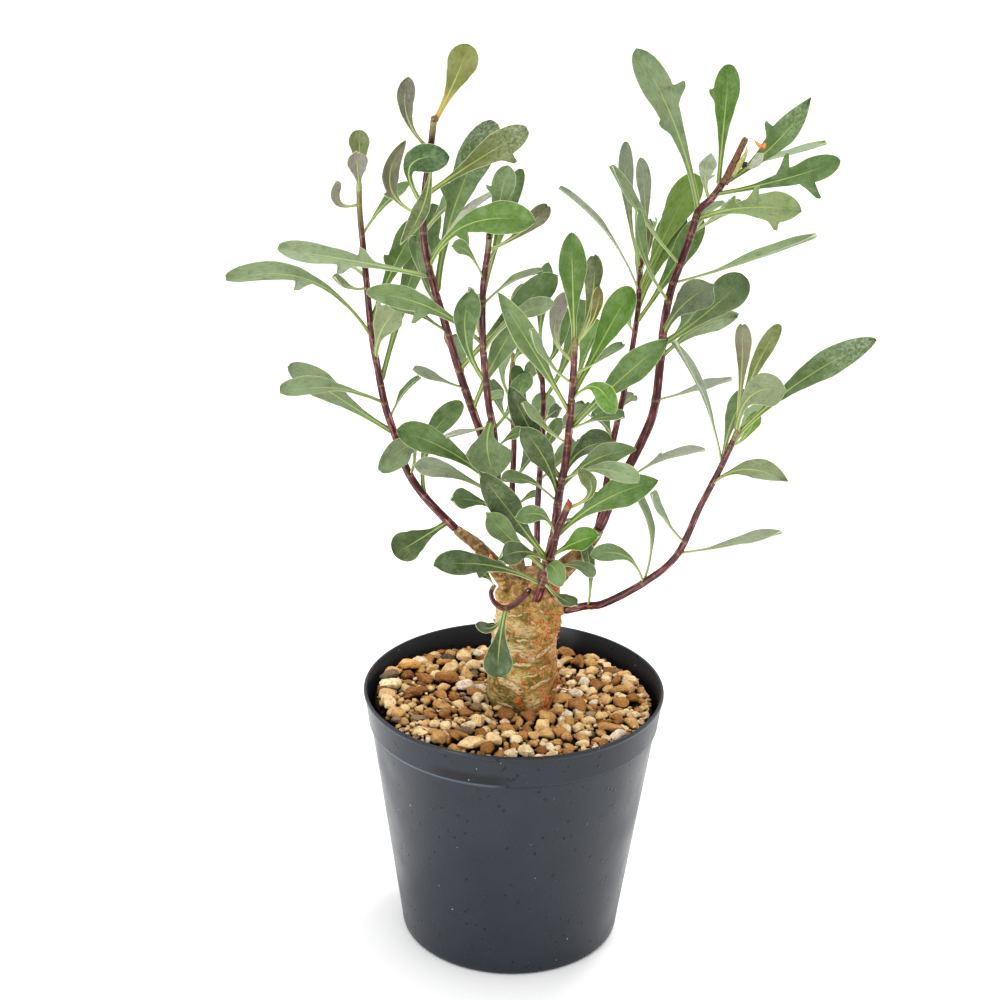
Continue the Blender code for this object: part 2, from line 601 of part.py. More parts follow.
def corner_spots(middles):
    """Places where three neighbouring pebbles meet: the middle of the circle through each three."""
    _, _, triangles, _, _, _ = delaunay_2d_cdt(middles, [], [], 0, MERGE)
    corners = []
    for first, second, third in triangles:
        a = middles[first]
        b = middles[second]
        c = middles[third]
        twice = 2.0 * (a.x * (b.y - c.y) + b.x * (c.y - a.y) + c.x * (a.y - b.y))
        if abs(twice) < MERGE ** 2:
            continue
        x = (a.length_squared * (b.y - c.y) + b.length_squared * (c.y - a.y)
             + c.length_squared * (a.y - b.y)) / twice
        y = (a.length_squared * (c.x - b.x) + b.length_squared * (a.x - c.x)
             + c.length_squared * (b.x - a.x)) / twice
        corners.append(Vector((x, y)))
    return corners


def make_gravel():
    """The filling, from the pot's floor to its pebbly top, with the hole that the trunk stands in."""
    rng = random.Random(PEBBLE_SEED)
    wall = BODY_TOP_RADIUS - WALL
    outer = wall - GAP
    hole = ring_of(TRUNK_RINGS[1], GAP)
    hole_middle = Vector((TRUNK_RINGS[1][1], TRUNK_RINGS[1][2])) * MM
    hole_radius = TRUNK_RINGS[1][3] * MM + GAP
    middles = spread_pebbles(rng, hole_middle, hole_radius, outer)
    spots = []
    heights = []

    def add_spot(spot, lift):
        spots.append(spot)
        heights.append(gravel_height(spot.x, spot.y) + lift)

    rim = []
    for side in range(POT_SIDES):
        angle = 2.0 * math.pi * side / POT_SIDES
        rim.append(len(spots))
        add_spot(Vector((outer * math.cos(angle), outer * math.sin(angle))), 0.0)
    mouth = []
    for place in hole:
        mouth.append(len(spots))
        add_spot(place.to_2d(), 0.0)
    for corner in corner_spots(middles):
        near_hole = (corner - hole_middle).length < hole_radius + EDGE_MARGIN
        near_wall = corner.length > outer - EDGE_MARGIN
        near_other = any((corner - other).length < POINT_MARGIN for other in spots)
        if not (near_hole or near_wall or near_other):
            add_spot(corner, 0.0)
    for middle in middles:
        size = rng.uniform(*PEBBLE_SIZES)
        add_spot(middle, PEBBLE_HEIGHT * size)
        start = rng.uniform(0.0, 2.0 * math.pi)
        for side in range(SHOULDER_SIDES):
            angle = start + 2.0 * math.pi * side / SHOULDER_SIDES
            reach = PEBBLE_WIDTH * rng.uniform(*SHOULDER_REACH)
            offset = Vector((math.cos(angle), math.sin(angle))) * reach
            add_spot(middle + offset, PEBBLE_HEIGHT * size * rng.uniform(*SHOULDER_HEIGHT))
    edges = [(rim[n], rim[(n + 1) % len(rim)]) for n in range(len(rim))]
    edges += [(mouth[n], mouth[(n + 1) % len(mouth)]) for n in range(len(mouth))]
    flat, _, triangles, originals, _, _ = delaunay_2d_cdt(spots, edges, [], 0, MERGE)
    own = {olds[0]: new for new, olds in enumerate(originals)}
    points = [Vector((spot.x, spot.y, heights[olds[0]])) for spot, olds in zip(flat, originals)]
    hole_corners = [place.to_2d() for place in hole]
    faces = []
    for triangle in triangles:
        middle = sum((flat[corner] for corner in triangle), Vector((0.0, 0.0))) / 3.0
        if not inside_polygon(middle, hole_corners):
            faces.append(tuple(triangle))
    rim = [own[number] for number in rim]
    mouth = [own[number] for number in mouth]
    levels = ((BODY_TOP_RADIUS, POT_HEIGHT - COLLAR_HEIGHT - GAP), (FOOT_RADIUS, FLOOR_HEIGHT + GAP))
    above = rim
    for radius, height in levels:
        ring = []
        for side in range(POT_SIDES):
            angle = 2.0 * math.pi * side / POT_SIDES
            reach = radius - WALL - GAP
            ring.append(len(points))
            points.append(Vector((reach * math.cos(angle), reach * math.sin(angle), height)))
        for side in range(POT_SIDES):
            beside = (side + 1) % POT_SIDES
            faces.append((above[side], above[beside], ring[beside], ring[side]))
        above = ring
    faces.append(tuple(above))
    pit = []
    for place in hole:
        pit.append(len(points))
        points.append(Vector((place.x, place.y, TRUNK_RINGS[0][0] * MM - GAP)))
    for side in range(len(pit)):
        beside = (side + 1) % len(pit)
        faces.append((mouth[side], mouth[beside], pit[beside], pit[side]))
    faces.append(tuple(pit))
    gravel = add_object("gravel", mesh_from("gravel", points, faces))
    gravel.data.materials.append(finish_material("gravel_stone", (0.42, 0.28, 0.15), 0.85))


def inside_polygon(spot, corners):
    """Whether a flat spot lies inside a polygon."""
    inside = False
    last = corners[-1]
    for corner in corners:
        crosses = (corner.y > spot.y) != (last.y > spot.y)
        if crosses and spot.x < (last.x - corner.x) * (spot.y - corner.y) / (last.y - corner.y) + corner.x:
            inside = not inside
        last = corner
    return inside


def ring_of(ring, grow=0.0, lumps=0.0):
    """Points of one ring of the trunk, grown by a clearance and swollen into low lumps."""
    height, x, y, radius = ring
    points = []
    for side in range(TRUNK_SIDES):
        angle = 2.0 * math.pi * side / TRUNK_SIDES
        swell = 1.0 + lumps * math.sin(3.0 * angle + height * LUMP_RISE) * math.cos(
            2.0 * angle - height * LUMP_FALL)
        reach = radius * MM * swell + grow
        points.append(Vector((x * MM + reach * math.cos(angle), y * MM + reach * math.sin(angle),
                              height * MM)))
    return points


def stem_paths(stem):
    """Paths of a stem's woody foot and of its leafy part, with the direction where they meet."""
    curve = smooth_curve([seen(across, down, depth * MM) for across, down, depth in stem.route])
    split = (stem.wood - 1) * CURVE_PARTS
    along = (curve[split + 1] - curve[split - 1]).normalized()
    wood = evenly(curve[:split + 1], WOOD_STEP)
    leafy = evenly(curve[split:], STEM_STEP)
    leafy[0] = leafy[0] + along * GAP
    return wood, leafy, along


def make_caudex():
    """The swollen trunk with its knobs and the woody foot of every stem, grown as one piece."""
    points = []
    faces = []
    for number, ring in enumerate(TRUNK_RINGS):
        points += ring_of(ring, 0.0, 0.0 if number < 2 else TRUNK_LUMPS)
    for level in range(len(TRUNK_RINGS) - 1):
        for side in range(TRUNK_SIDES):
            beside = (side + 1) % TRUNK_SIDES
            first = level * TRUNK_SIDES
            after = first + TRUNK_SIDES
            faces.append((first + side, first + beside, after + beside, after + side))
    faces.append(tuple(range(TRUNK_SIDES)))
    last = (len(TRUNK_RINGS) - 1) * TRUNK_SIDES
    faces.append(tuple(range(last, last + TRUNK_SIDES)))
    bodies = [mesh_from("trunk", points, faces)]
    for across, down, depth, radius in KNOBS:
        knob = bmesh.new()
        place = Matrix.Translation(seen(across, down, depth * MM))
        bmesh.ops.create_icosphere(knob, subdivisions=1, radius=radius * MM, matrix=place)
        mesh = bpy.data.meshes.new("knob")
        knob.to_mesh(mesh)
        knob.free()
        bodies.append(mesh)
    for name, stem in STEMS.items():
        path, _, along = stem_paths(stem)
        start = stem.foot_radius * MM
        end = stem.base_radius * MM + FOOT_COLLAR
        radii = [start + (end - start) * (n / (len(path) - 1)) ** FOOT_TAPER for n in range(len(path))]
        bodies.append(tube(name + "_wood", path, radii, STEM_SIDES, last_along=along))
    bark = finish_material("bark", (0.30, 0.24, 0.10), 0.7)
    caudex = united("caudex", bodies, bark, "EXACT")
    clean_solid(caudex)


def picture_place(place):
    """Picture point at which a real place shows."""
    forward = Vector((0.0, math.cos(VIEW_PITCH), -math.sin(VIEW_PITCH)))
    upward = Vector((0.0, math.sin(VIEW_PITCH), math.cos(VIEW_PITCH)))
    away = place - (VIEW_TARGET - forward * VIEW_DISTANCE)
    x = VIEW_FOCUS * away.x / away.dot(forward)
    y = VIEW_FOCUS * away.dot(upward) / away.dot(forward)
    across = VIEW_CENTRE + math.cos(VIEW_ROLL) * x + math.sin(VIEW_ROLL) * y
    down = VIEW_CENTRE - (-math.sin(VIEW_ROLL) * x + math.cos(VIEW_ROLL) * y)
    return Vector((across, down))


def nearest_on(path, spot):
    """The place on a stem's path that shows nearest to a picture point."""
    best = path[0]
    least = math.inf
    for here, there in zip(path, path[1:]):
        for part in range(CURVE_PARTS):
            place = here.lerp(there, part / CURVE_PARTS)
            if (place - path[0]).length < LOWEST_LEAF:
                continue
            off = (picture_place(place) - Vector(spot)).length
            if off < least:
                least = off
                best = place
    return best


def blade_stations(leaf):
    """Shares of the length with the half widths on one side and the other, in metres."""
    half = 0.5 * leaf.wide * MM

    def plain(share):
        outline = BLADE_OUTLINE + ((1.0, BLADE_TIP),)
        for (low, low_width), (high, high_width) in zip(outline, outline[1:]):
            if low <= share <= high:
                return half * (low_width + (high_width - low_width) * (share - low) / (high - low))
        return half * BLADE_TIP

    stations = [(share, half * width, half * width) for share, width in BLADE_OUTLINE]
    for share, side, lobe in leaf.lobes:
        size = lobe * MM
        low = share - LOBE_HALF_SPAN
        high = share + LOBE_HALF_SPAN
        stations = [row for row in stations
                    if not low - LOBE_CLEARING < row[0] < high + LOBE_CLEARING]
        left = plain(share) + (size if side > 0 else 0.0)
        right = plain(share) + (size if side < 0 else 0.0)
        after = plain(high) * BEHIND_LOBE
        stations += [(low, plain(low), plain(low)), (share, left, right), (high, after, after)]
    stations.sort()
    return stations + [(1.0, half * BLADE_TIP, half * BLADE_TIP)]


def blade(leaf, root, toward, thickness=BLADE_THICKNESS, start=0.0):
    """Points and faces of one leaf: a thin blade on a smooth arch from its root to its tip."""
    tip = seen(*leaf.tip, root.y - toward)
    middle = seen(*leaf.mid, root.y - 0.5 * toward)
    share = (middle - root).length / ((middle - root).length + (tip - middle).length)
    share = min(max(share, MIDDLE_SHARES[0]), MIDDLE_SHARES[1])
    bend = (middle - (1.0 - share) ** 2 * root - share ** 2 * tip) / (2.0 * share * (1.0 - share))
    eye = VIEW_TARGET - Vector((0.0, math.cos(VIEW_PITCH), -math.sin(VIEW_PITCH))) * VIEW_DISTANCE
    along = (tip - root).normalized()
    facing = (eye - middle).normalized()
    facing = (facing - along * facing.dot(along)).normalized()
    turns = [Matrix.Rotation(math.radians(angle), 3, along) @ facing for angle in (leaf.turn, -leaf.turn)]
    facing = max(turns, key=lambda normal: normal.z)
    points = []
    faces = []
    for share, left, right in blade_stations(leaf):
        if share < start:
            continue
        place = (1 - share) ** 2 * root + 2 * share * (1 - share) * bend + share ** 2 * tip
        heading = (2 * (1 - share) * (bend - root) + 2 * share * (tip - bend)).normalized()
        normal = (facing - heading * facing.dot(heading)).normalized()
        across = heading.cross(normal)
        lift = normal * 0.5 * thickness
        spread = 0.5 * (thickness - BLADE_THICKNESS)
        points += [place + across * (left + spread) + lift, place - across * (right + spread) + lift,
                   place - across * (right + spread) - lift, place + across * (left + spread) - lift]
    count = len(points) // 4
    for ring in range(count - 1):
        a = ring * 4
        b = a + 4
        faces += [(a, b, b + 1), (a, b + 1, a + 1)]
        faces += [(a + 3, b + 2, b + 3), (a + 3, a + 2, b + 2)]
        faces += [(a + 1, b + 1, b + 2), (a + 1, b + 2, a + 2)]
        faces += [(a + 3, b + 3, b), (a + 3, b, a)]
    faces += [(0, 1, 2), (0, 2, 3)]
    last = (count - 1) * 4
    faces += [(last, last + 3, last + 2), (last, last + 2, last + 1)]
    return points, faces


def touches(tree, others):
    """Whether a tree of faces meets any of the others."""
    return any(tree.overlap(other) for other in others)


def make_shoots():
    """Every leafy stem: one slim tube with its leaves, bent clear of what stands round it."""
    paths = {}
    tubes = {}
    guards = {}
    for name, stem in STEMS.items():
        _, path, along = stem_paths(stem)
        paths[name] = path
        span = len(path) - 1
        radii = [(stem.base_radius + (stem.tip_radius - stem.base_radius) * n / span) * MM
                 for n in range(span + 1)]
        radii[-1] *= TIP_ROUND
        tubes[name] = tube(name, path, radii, STEM_SIDES, first_along=along)
        thick = tube(name + "_guard", path, [radius + CLEARANCE for radius in radii], STEM_SIDES)
        guards[name] = BVHTree.FromPolygons([vert.co for vert in thick.vertices],
                                            [face.vertices for face in thick.polygons])
        bpy.data.meshes.remove(thick)
    fixed = [tree_of(bpy.data.objects[name]) for name in ("caudex", "pot", "gravel")]
    settled = []
    green = finish_material("leaf_green", (0.13, 0.24, 0.07), 0.5)
    for name, leaves in LEAVES.items():
        bodies = [tubes[name]]
        strangers = fixed + [guards[other] for other in STEMS if other != name]
        for number, leaf in enumerate(leaves):
            root = nearest_on(paths[name], leaf.root)
            for attempt in range(2 * BEND_TRIES + 1):
                swing = BEND_STEP * ((attempt + 1) // 2) * (1 if attempt % 2 else -1)
                toward = leaf.toward * MM + swing
                tree = BVHTree.FromPolygons(*blade(leaf, root, toward, BLADE_THICKNESS + 2.0 * CLEARANCE))
                outer = BVHTree.FromPolygons(*blade(leaf, root, toward, start=PETIOLE_END))
                own_hit = touches(outer, [far for owner, _, far in settled if owner == name])
                own_hit = own_hit or touches(outer, [guards[name]])
                far_hit = touches(tree, strangers) or touches(tree, [full for owner, full, _ in settled
                                                                     if owner != name])
                if not (own_hit or far_hit):
                    break
            settled.append((name, BVHTree.FromPolygons(*blade(leaf, root, toward)), outer))
            bodies.append(mesh_from(f"{name}_leaf_{number}", *blade(leaf, root, toward)))
        shoot = united(name, bodies, green)
        clean_solid(shoot)


def tree_of(thing):
    """A search tree of an object's faces."""
    graph = bpy.context.evaluated_depsgraph_get()
    mesh = thing.evaluated_get(graph).to_mesh()
    return BVHTree.FromPolygons([vert.co.copy() for vert in mesh.vertices],
                                [tuple(face.vertices) for face in mesh.polygons])


clear_file()
make_pot()
make_gravel()
make_caudex()
make_shoots()
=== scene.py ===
"""A lobed-leaf succulent shrub in a nursery pot of gravel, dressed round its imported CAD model."""
import math
import random
from collections import namedtuple

import bmesh
import bpy
import numpy as np
from mathutils import Matrix, Vector, noise
from mathutils.bvhtree import BVHTree


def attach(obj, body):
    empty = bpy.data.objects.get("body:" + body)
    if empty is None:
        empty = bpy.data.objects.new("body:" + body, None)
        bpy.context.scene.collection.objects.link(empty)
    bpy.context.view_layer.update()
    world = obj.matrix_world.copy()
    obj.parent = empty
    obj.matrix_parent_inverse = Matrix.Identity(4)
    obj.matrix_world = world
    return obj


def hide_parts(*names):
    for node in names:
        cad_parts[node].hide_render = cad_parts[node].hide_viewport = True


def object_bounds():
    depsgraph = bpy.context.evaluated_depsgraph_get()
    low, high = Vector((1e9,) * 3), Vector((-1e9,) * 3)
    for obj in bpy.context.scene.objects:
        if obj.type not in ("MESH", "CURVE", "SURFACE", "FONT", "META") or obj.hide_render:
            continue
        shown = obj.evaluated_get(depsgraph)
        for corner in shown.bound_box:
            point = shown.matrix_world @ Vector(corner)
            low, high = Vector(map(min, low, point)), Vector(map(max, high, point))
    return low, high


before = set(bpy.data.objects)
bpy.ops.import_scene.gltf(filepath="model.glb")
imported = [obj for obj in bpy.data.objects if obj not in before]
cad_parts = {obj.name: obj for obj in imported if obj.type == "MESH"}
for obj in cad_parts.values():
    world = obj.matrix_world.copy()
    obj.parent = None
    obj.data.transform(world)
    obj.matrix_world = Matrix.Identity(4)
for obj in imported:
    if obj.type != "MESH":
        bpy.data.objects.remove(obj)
cad_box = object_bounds()
bpy.ops.object.select_all(action="DESELECT")

# The studio: a white table under a pale sky, a broad lamp high behind at the right and a slim one low at
# the front left, and the camera above the rim, looking slightly down at the middle of the plant.
MM = 0.001
VIEW_PITCH = math.radians(21.79)
VIEW_ROLL = math.radians(0.98)
VIEW_TARGET = Vector((-6.82, 0.0, 186.8)) * MM
VIEW_DISTANCE = 800.0 * MM
# Pixels of focal length, and the pixel at the photo's middle
VIEW_FOCUS = 2073.0
VIEW_CENTRE = 500.0
FORWARD = Vector((0.0, math.cos(VIEW_PITCH), -math.sin(VIEW_PITCH)))
UPWARD = Vector((0.0, math.sin(VIEW_PITCH), math.cos(VIEW_PITCH)))
EYE = VIEW_TARGET - FORWARD * VIEW_DISTANCE
SENSOR = 36.0
NEAREST_SEEN = 10.0 * MM
TABLE_WIDTH = 40.0
TABLE_TONES = ((0.93, 0.93, 0.93), (0.95, 0.95, 0.95))
SKY_STOPS = ((0.0, (0.95, 0.95, 0.95)), (0.08, (0.42, 0.42, 0.42)), (0.40, (0.62, 0.62, 0.62)),
             (0.72, (1.0, 1.0, 1.0)), (1.0, (1.0, 1.0, 1.0)))
SKY_STRENGTH = 1.32
SUN_WAY = (-0.20, -0.26, -1.0)
SUN_STRENGTH = 1.3
SUN_SPREAD = math.radians(16.0)
LAMP_PLACE = Vector((-470, -560, 230)) * MM
LAMP_WIDTH = 60 * MM
LAMP_HEIGHT = 520 * MM
LAMP_POWER = 1.6


class Wire:
    """A socket in a material's nodes. Arithmetic on wires and numbers adds the Math nodes for it."""

    def __init__(self, tree, socket=None):
        self.tree = tree
        self.socket = socket

    def node(self, kind, settings=None, inputs=None, output=0):
        """Add a node, set it up, feed its sockets by name or number, and give one of its outputs."""
        made = self.tree.nodes.new("ShaderNode" + kind)
        for name, value in (settings or {}).items():
            if name == "stops":
                for number, (place, colour) in enumerate(value):
                    stop = made.color_ramp.elements[number] if number < 2 else (
                        made.color_ramp.elements.new(place))
                    stop.position = place
                    stop.color = (*colour, 1.0)
            else:
                setattr(made, name, value)
        for key, value in (inputs or {}).items():
            if isinstance(value, Wire):
                self.tree.links.new(value.socket, made.inputs[key])
            else:
                made.inputs[key].default_value = value
        return Wire(self.tree, made.outputs[output])

    def maths(self, operation, *values):
        """What a Math node gives for these values."""
        return self.node("Math", {"operation": operation}, dict(enumerate(values)))

    def __add__(self, other):
        return self.maths("ADD", self, other)

    def __sub__(self, other):
        return self.maths("SUBTRACT", self, other)

    def __mul__(self, other):
        return self.maths("MULTIPLY", self, other)

    __rmul__ = __mul__

    def rise(self, low, high, start=0.0, end=1.0):
        """From start to end as this wire goes from low to high, smoothly and no further."""
        return self.node("MapRange", {"interpolation_type": "SMOOTHSTEP"},
                         {"Value": self, "From Min": low, "From Max": high, "To Min": start, "To Max": end})

    def mix(self, first, second):
        """The first colour where this wire is 0 and the second where it is 1."""
        return self.node("Mix", {"data_type": "RGBA"}, {0: self, 6: paint(first), 7: paint(second)}, 2)

    def coats(self, *coats):
        """This colour with others laid over it in turn, each one as far as its own wire lets it."""
        colour = self
        for cover, over in coats:
            colour = cover.mix(colour, over)
        return colour

    def ramp(self, *stops):
        """The colour that the stops give for this wire."""
        return self.node("ValToRGB", {"stops": stops}, {0: self})


def paint(colour):
    """A colour as a socket takes it: a wire as it is, and three numbers with their fourth."""
    return colour if isinstance(colour, Wire) else (*colour, 1.0)


class Finish(Wire):
    """A material with its Principled shader, whose unvarying values are set on the shader itself."""

    def __init__(self, name, **constants):
        self.material = bpy.data.materials.new(name)
        self.material.use_nodes = True
        super().__init__(self.material.node_tree)
        self.shader = self.tree.nodes["Principled BSDF"]
        for key, value in constants.items():
            self.shader.inputs[key.replace("_", " ")].default_value = value
        self.place = self.node("TexCoord", output="Object")
        self.height = self.along("Z")

    def along(self, axis):
        """Metres from the middle of the plant along one axis."""
        return self.node("SeparateXYZ", inputs={0: self.place}, output=axis)

    def noise(self, scale, detail=3.0, roughness=0.5, place=None):
        """A cloudy number from 0 to 1 with spots a given number of millimetres apart."""
        return self.node("TexNoise", inputs={"Vector": place or self.place, "Scale": 1.0 / (scale * MM),
                                             "Detail": detail, "Roughness": roughness})

    def spots(self, scale):
        """Distance to the nearest of many points, scattered a given number of millimetres apart."""
        return self.node("TexVoronoi", inputs={"Vector": self.place, "Scale": 1.0 / (scale * MM)},
                         output="Distance")

    def read(self, name, output="Fac"):
        """A value kept on the mesh's points."""
        return self.node("Attribute", {"attribute_name": name}, output=output)

    def done(self, colour, roughness, relief=None, height=0.1):
        """Feed the shader, with a relief of a given height in millimetres, and give the material."""
        self.tree.links.new(colour.socket, self.shader.inputs["Base Color"])
        self.tree.links.new(roughness.socket, self.shader.inputs["Roughness"])
        if relief:
            normal = self.node("Bump", inputs={"Height": relief, "Distance": height * MM})
            self.tree.links.new(normal.socket, self.shader.inputs["Normal"])
        return self.material


lens = bpy.data.cameras.new("camera")
lens.sensor_width = SENSOR
lens.lens = SENSOR * VIEW_FOCUS / (2.0 * VIEW_CENTRE)
lens.clip_start = NEAREST_SEEN
camera = bpy.data.objects.new("camera", lens)
camera.matrix_world = (Matrix.Translation(EYE) @ Matrix.Rotation(0.5 * math.pi - VIEW_PITCH, 4, "X")
                       @ Matrix.Rotation(VIEW_ROLL, 4, "Z"))
bpy.context.scene.collection.objects.link(camera)
bpy.context.scene.camera = camera
bpy.context.scene.view_settings.view_transform = "Standard"
bpy.context.scene.view_settings.look = "Medium High Contrast"

bpy.ops.mesh.primitive_plane_add(size=TABLE_WIDTH)
floor = bpy.context.object
floor.name = "floor"
table = Finish("table_paper")
floor.data.materials.append(table.done(table.noise(300).mix(*TABLE_TONES),
                                       table.noise(40).rise(0.0, 1.0, 0.6, 0.7)))

sky = bpy.data.worlds.new("sky")
sky.use_nodes = True
sky_wire = Wire(sky.node_tree)
sky_way = sky_wire.node("TexCoord", output="Generated")
sky_colour = sky_wire.node("SeparateXYZ", inputs={0: sky_way}, output="Z").ramp(*SKY_STOPS)
background = sky.node_tree.nodes["Background"]
sky.node_tree.links.new(sky_colour.socket, background.inputs["Color"])
background.inputs["Strength"].default_value = SKY_STRENGTH
bpy.context.scene.world = sky
sun = bpy.data.objects.new("sun", bpy.data.lights.new("sun", "SUN"))
sun.data.energy = SUN_STRENGTH
sun.data.angle = SUN_SPREAD
sun.rotation_euler = Vector(SUN_WAY).to_track_quat("-Z", "Y").to_euler()
bpy.context.scene.collection.objects.link(sun)
side_lamp = bpy.data.objects.new("side_lamp", bpy.data.lights.new("side_lamp", "AREA"))
side_lamp.data.shape = "RECTANGLE"
side_lamp.data.size = LAMP_WIDTH
side_lamp.data.size_y = LAMP_HEIGHT
side_lamp.data.energy = LAMP_POWER
side_lamp.location = LAMP_PLACE
side_lamp.rotation_euler = (VIEW_TARGET - side_lamp.location).to_track_quat("-Z", "Y").to_euler()
bpy.context.scene.collection.objects.link(side_lamp)

# The pot: a thin tub of black plastic, moulded in one piece, with a collar that steps out under the
# rim, a thin lip, and a foot ring round a recessed bottom with drain holes. It is wet with fine drops.
POT_HEIGHT = 107.0
RIM_RADIUS = 60.0
COLLAR_HEIGHT = 14.0
COLLAR_STEP = 0.9
BODY_TOP_RADIUS = 57.2
FOOT_RADIUS = 44.5
WALL = 1.3
FLOOR_HEIGHT = 3.2
FOOT_RECESS = 1.4
FOOT_RING = 5.0
CENTRE_PAD_RADIUS = 14.0
DRAIN_HOLES = 6
DRAIN_RADIUS = 4.5
DRAIN_CIRCLE = 27.0
DRAIN_SIDES = 32
POT_SIDES = 144
COLLAR_FOOT = POT_HEIGHT - COLLAR_HEIGHT
POT_PROFILE = (
    (CENTRE_PAD_RADIUS - 0.3, 0.0),
    (CENTRE_PAD_RADIUS, 0.3),
    (CENTRE_PAD_RADIUS, FOOT_RECESS),
    (FOOT_RADIUS - FOOT_RING, FOOT_RECESS),
    (FOOT_RADIUS - FOOT_RING, 0.3),
    (FOOT_RADIUS - FOOT_RING + 0.3, 0.0),
    (FOOT_RADIUS - 2.2, 0.0),
    (FOOT_RADIUS - 1.0, 0.3),
    (FOOT_RADIUS - 0.3, 1.1),
    (FOOT_RADIUS, 2.2),
    (FOOT_RADIUS + 0.2, 4.0),
    (BODY_TOP_RADIUS - 0.1, COLLAR_FOOT - 0.6),
    (BODY_TOP_RADIUS + 0.1, COLLAR_FOOT),
    (BODY_TOP_RADIUS + 0.6, COLLAR_FOOT + 0.25),
    (BODY_TOP_RADIUS + 0.85, COLLAR_FOOT + 0.6),
    (BODY_TOP_RADIUS + COLLAR_STEP, COLLAR_FOOT + 1.2),
    (RIM_RADIUS - 0.5, POT_HEIGHT - 2.0),
    (RIM_RADIUS - 0.15, POT_HEIGHT - 1.7),
    (RIM_RADIUS, POT_HEIGHT - 1.2),
    (RIM_RADIUS, POT_HEIGHT - 0.5),
    (RIM_RADIUS - 0.2, POT_HEIGHT - 0.1),
    (RIM_RADIUS - 0.5, POT_HEIGHT),
    (RIM_RADIUS - WALL + 0.2, POT_HEIGHT),
    (RIM_RADIUS - WALL, POT_HEIGHT - 0.3),
    (BODY_TOP_RADIUS + COLLAR_STEP - WALL, COLLAR_FOOT + COLLAR_STEP),
    (BODY_TOP_RADIUS - WALL, COLLAR_FOOT),
    (FOOT_RADIUS - WALL + 0.2, FLOOR_HEIGHT + 1.0),
    (FOOT_RADIUS - WALL - 1.0, FLOOR_HEIGHT),
    (CENTRE_PAD_RADIUS, FLOOR_HEIGHT),
)
SHARP_ANGLE = math.radians(35.0)


def keep_on_points(mesh, name, values):
    """Keep one number, or one colour, on each point of a mesh for its material to read."""
    colours = isinstance(values[0], tuple)
    kept = mesh.attributes.new(name, "FLOAT_COLOR" if colours else "FLOAT", "POINT")
    if colours:
        kept.data.foreach_set("color", [part for value in values for part in (*value, 1.0)])
    else:
        kept.data.foreach_set("value", values)


def apply_all(thing):
    """Apply an object's modifiers in turn."""
    bpy.ops.object.select_all(action="DESELECT")
    thing.select_set(True)
    bpy.context.view_layer.objects.active = thing
    for modifier in list(thing.modifiers):
        bpy.ops.object.modifier_apply(modifier=modifier.name)


def settle(thing, node, slot):
    """Put a finished piece in a CAD node's place, riding on the plant's one body."""
    bpy.ops.object.select_all(action="DESELECT")
    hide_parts(node)
    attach(thing, "root")


bpy.ops.mesh.primitive_circle_add(vertices=POT_SIDES, radius=POT_PROFILE[0][0] * MM, fill_type="NGON")
pot = bpy.context.object
pot.name = "pot_tub"
bpy.ops.object.mode_set(mode="EDIT")
for (radius, height), (next_radius, next_height) in zip(POT_PROFILE, POT_PROFILE[1:]):
    bpy.ops.mesh.extrude_region_move(
        TRANSFORM_OT_translate={"value": (0.0, 0.0, (next_height - height) * MM)})
    share = next_radius / radius
    bpy.ops.transform.resize(value=(share, share, 1.0), center_override=(0.0, 0.0, next_height * MM))
bpy.ops.object.mode_set(mode="OBJECT")
outward = bmesh.new()
outward.from_mesh(pot.data)
bmesh.ops.recalc_face_normals(outward, faces=outward.faces)
outward.to_mesh(pot.data)
outward.free()
for number in range(DRAIN_HOLES):
    angle = 2.0 * math.pi * (number + 0.5) / DRAIN_HOLES
    bpy.ops.mesh.primitive_cylinder_add(
        vertices=DRAIN_SIDES, radius=DRAIN_RADIUS * MM, depth=4.0 * FLOOR_HEIGHT * MM,
        location=(DRAIN_CIRCLE * MM * math.cos(angle), DRAIN_CIRCLE * MM * math.sin(angle), 0.0))
    drill = bpy.context.object
    cut = pot.modifiers.new("drain_hole", "BOOLEAN")
    cut.operation = "DIFFERENCE"
    cut.object = drill
    cut.solver = "EXACT"
    apply_all(pot)
    bpy.data.objects.remove(drill, do_unlink=True)
bpy.ops.object.select_all(action="DESELECT")
pot.select_set(True)
bpy.context.view_layer.objects.active = pot
bpy.ops.object.shade_smooth_by_angle(angle=SHARP_ANGLE)

plastic = Finish("pot_plastic", Specular_IOR_Level=0.36)
sweep = plastic.along("X")
inside = plastic.read("pot_inside")
clouds = plastic.noise(18.0, 4.0)
grain = plastic.noise(1.1, 2.0)
drop = plastic.spots(4.2).rise(0.20, 0.14) * plastic.noise(9.0).rise(0.44, 0.52)
mist = plastic.spots(1.7).rise(0.13, 0.08) * plastic.noise(11.0).rise(0.48, 0.6)
fleck = plastic.spots(6.5).rise(0.040, 0.026)
front = plastic.along("Y").rise(-0.010, -0.022)
# Painted shade: a near-black patch on the collar just above its step at the front left, the shade of a dent
# that the mesh does not have.
dent_shade_across = front * sweep.rise(-0.034, -0.024) * sweep.rise(0.002, -0.008)
dent_shade = dent_shade_across * plastic.height.rise(0.0936, 0.0944) * plastic.height.rise(0.0995, 0.0968)
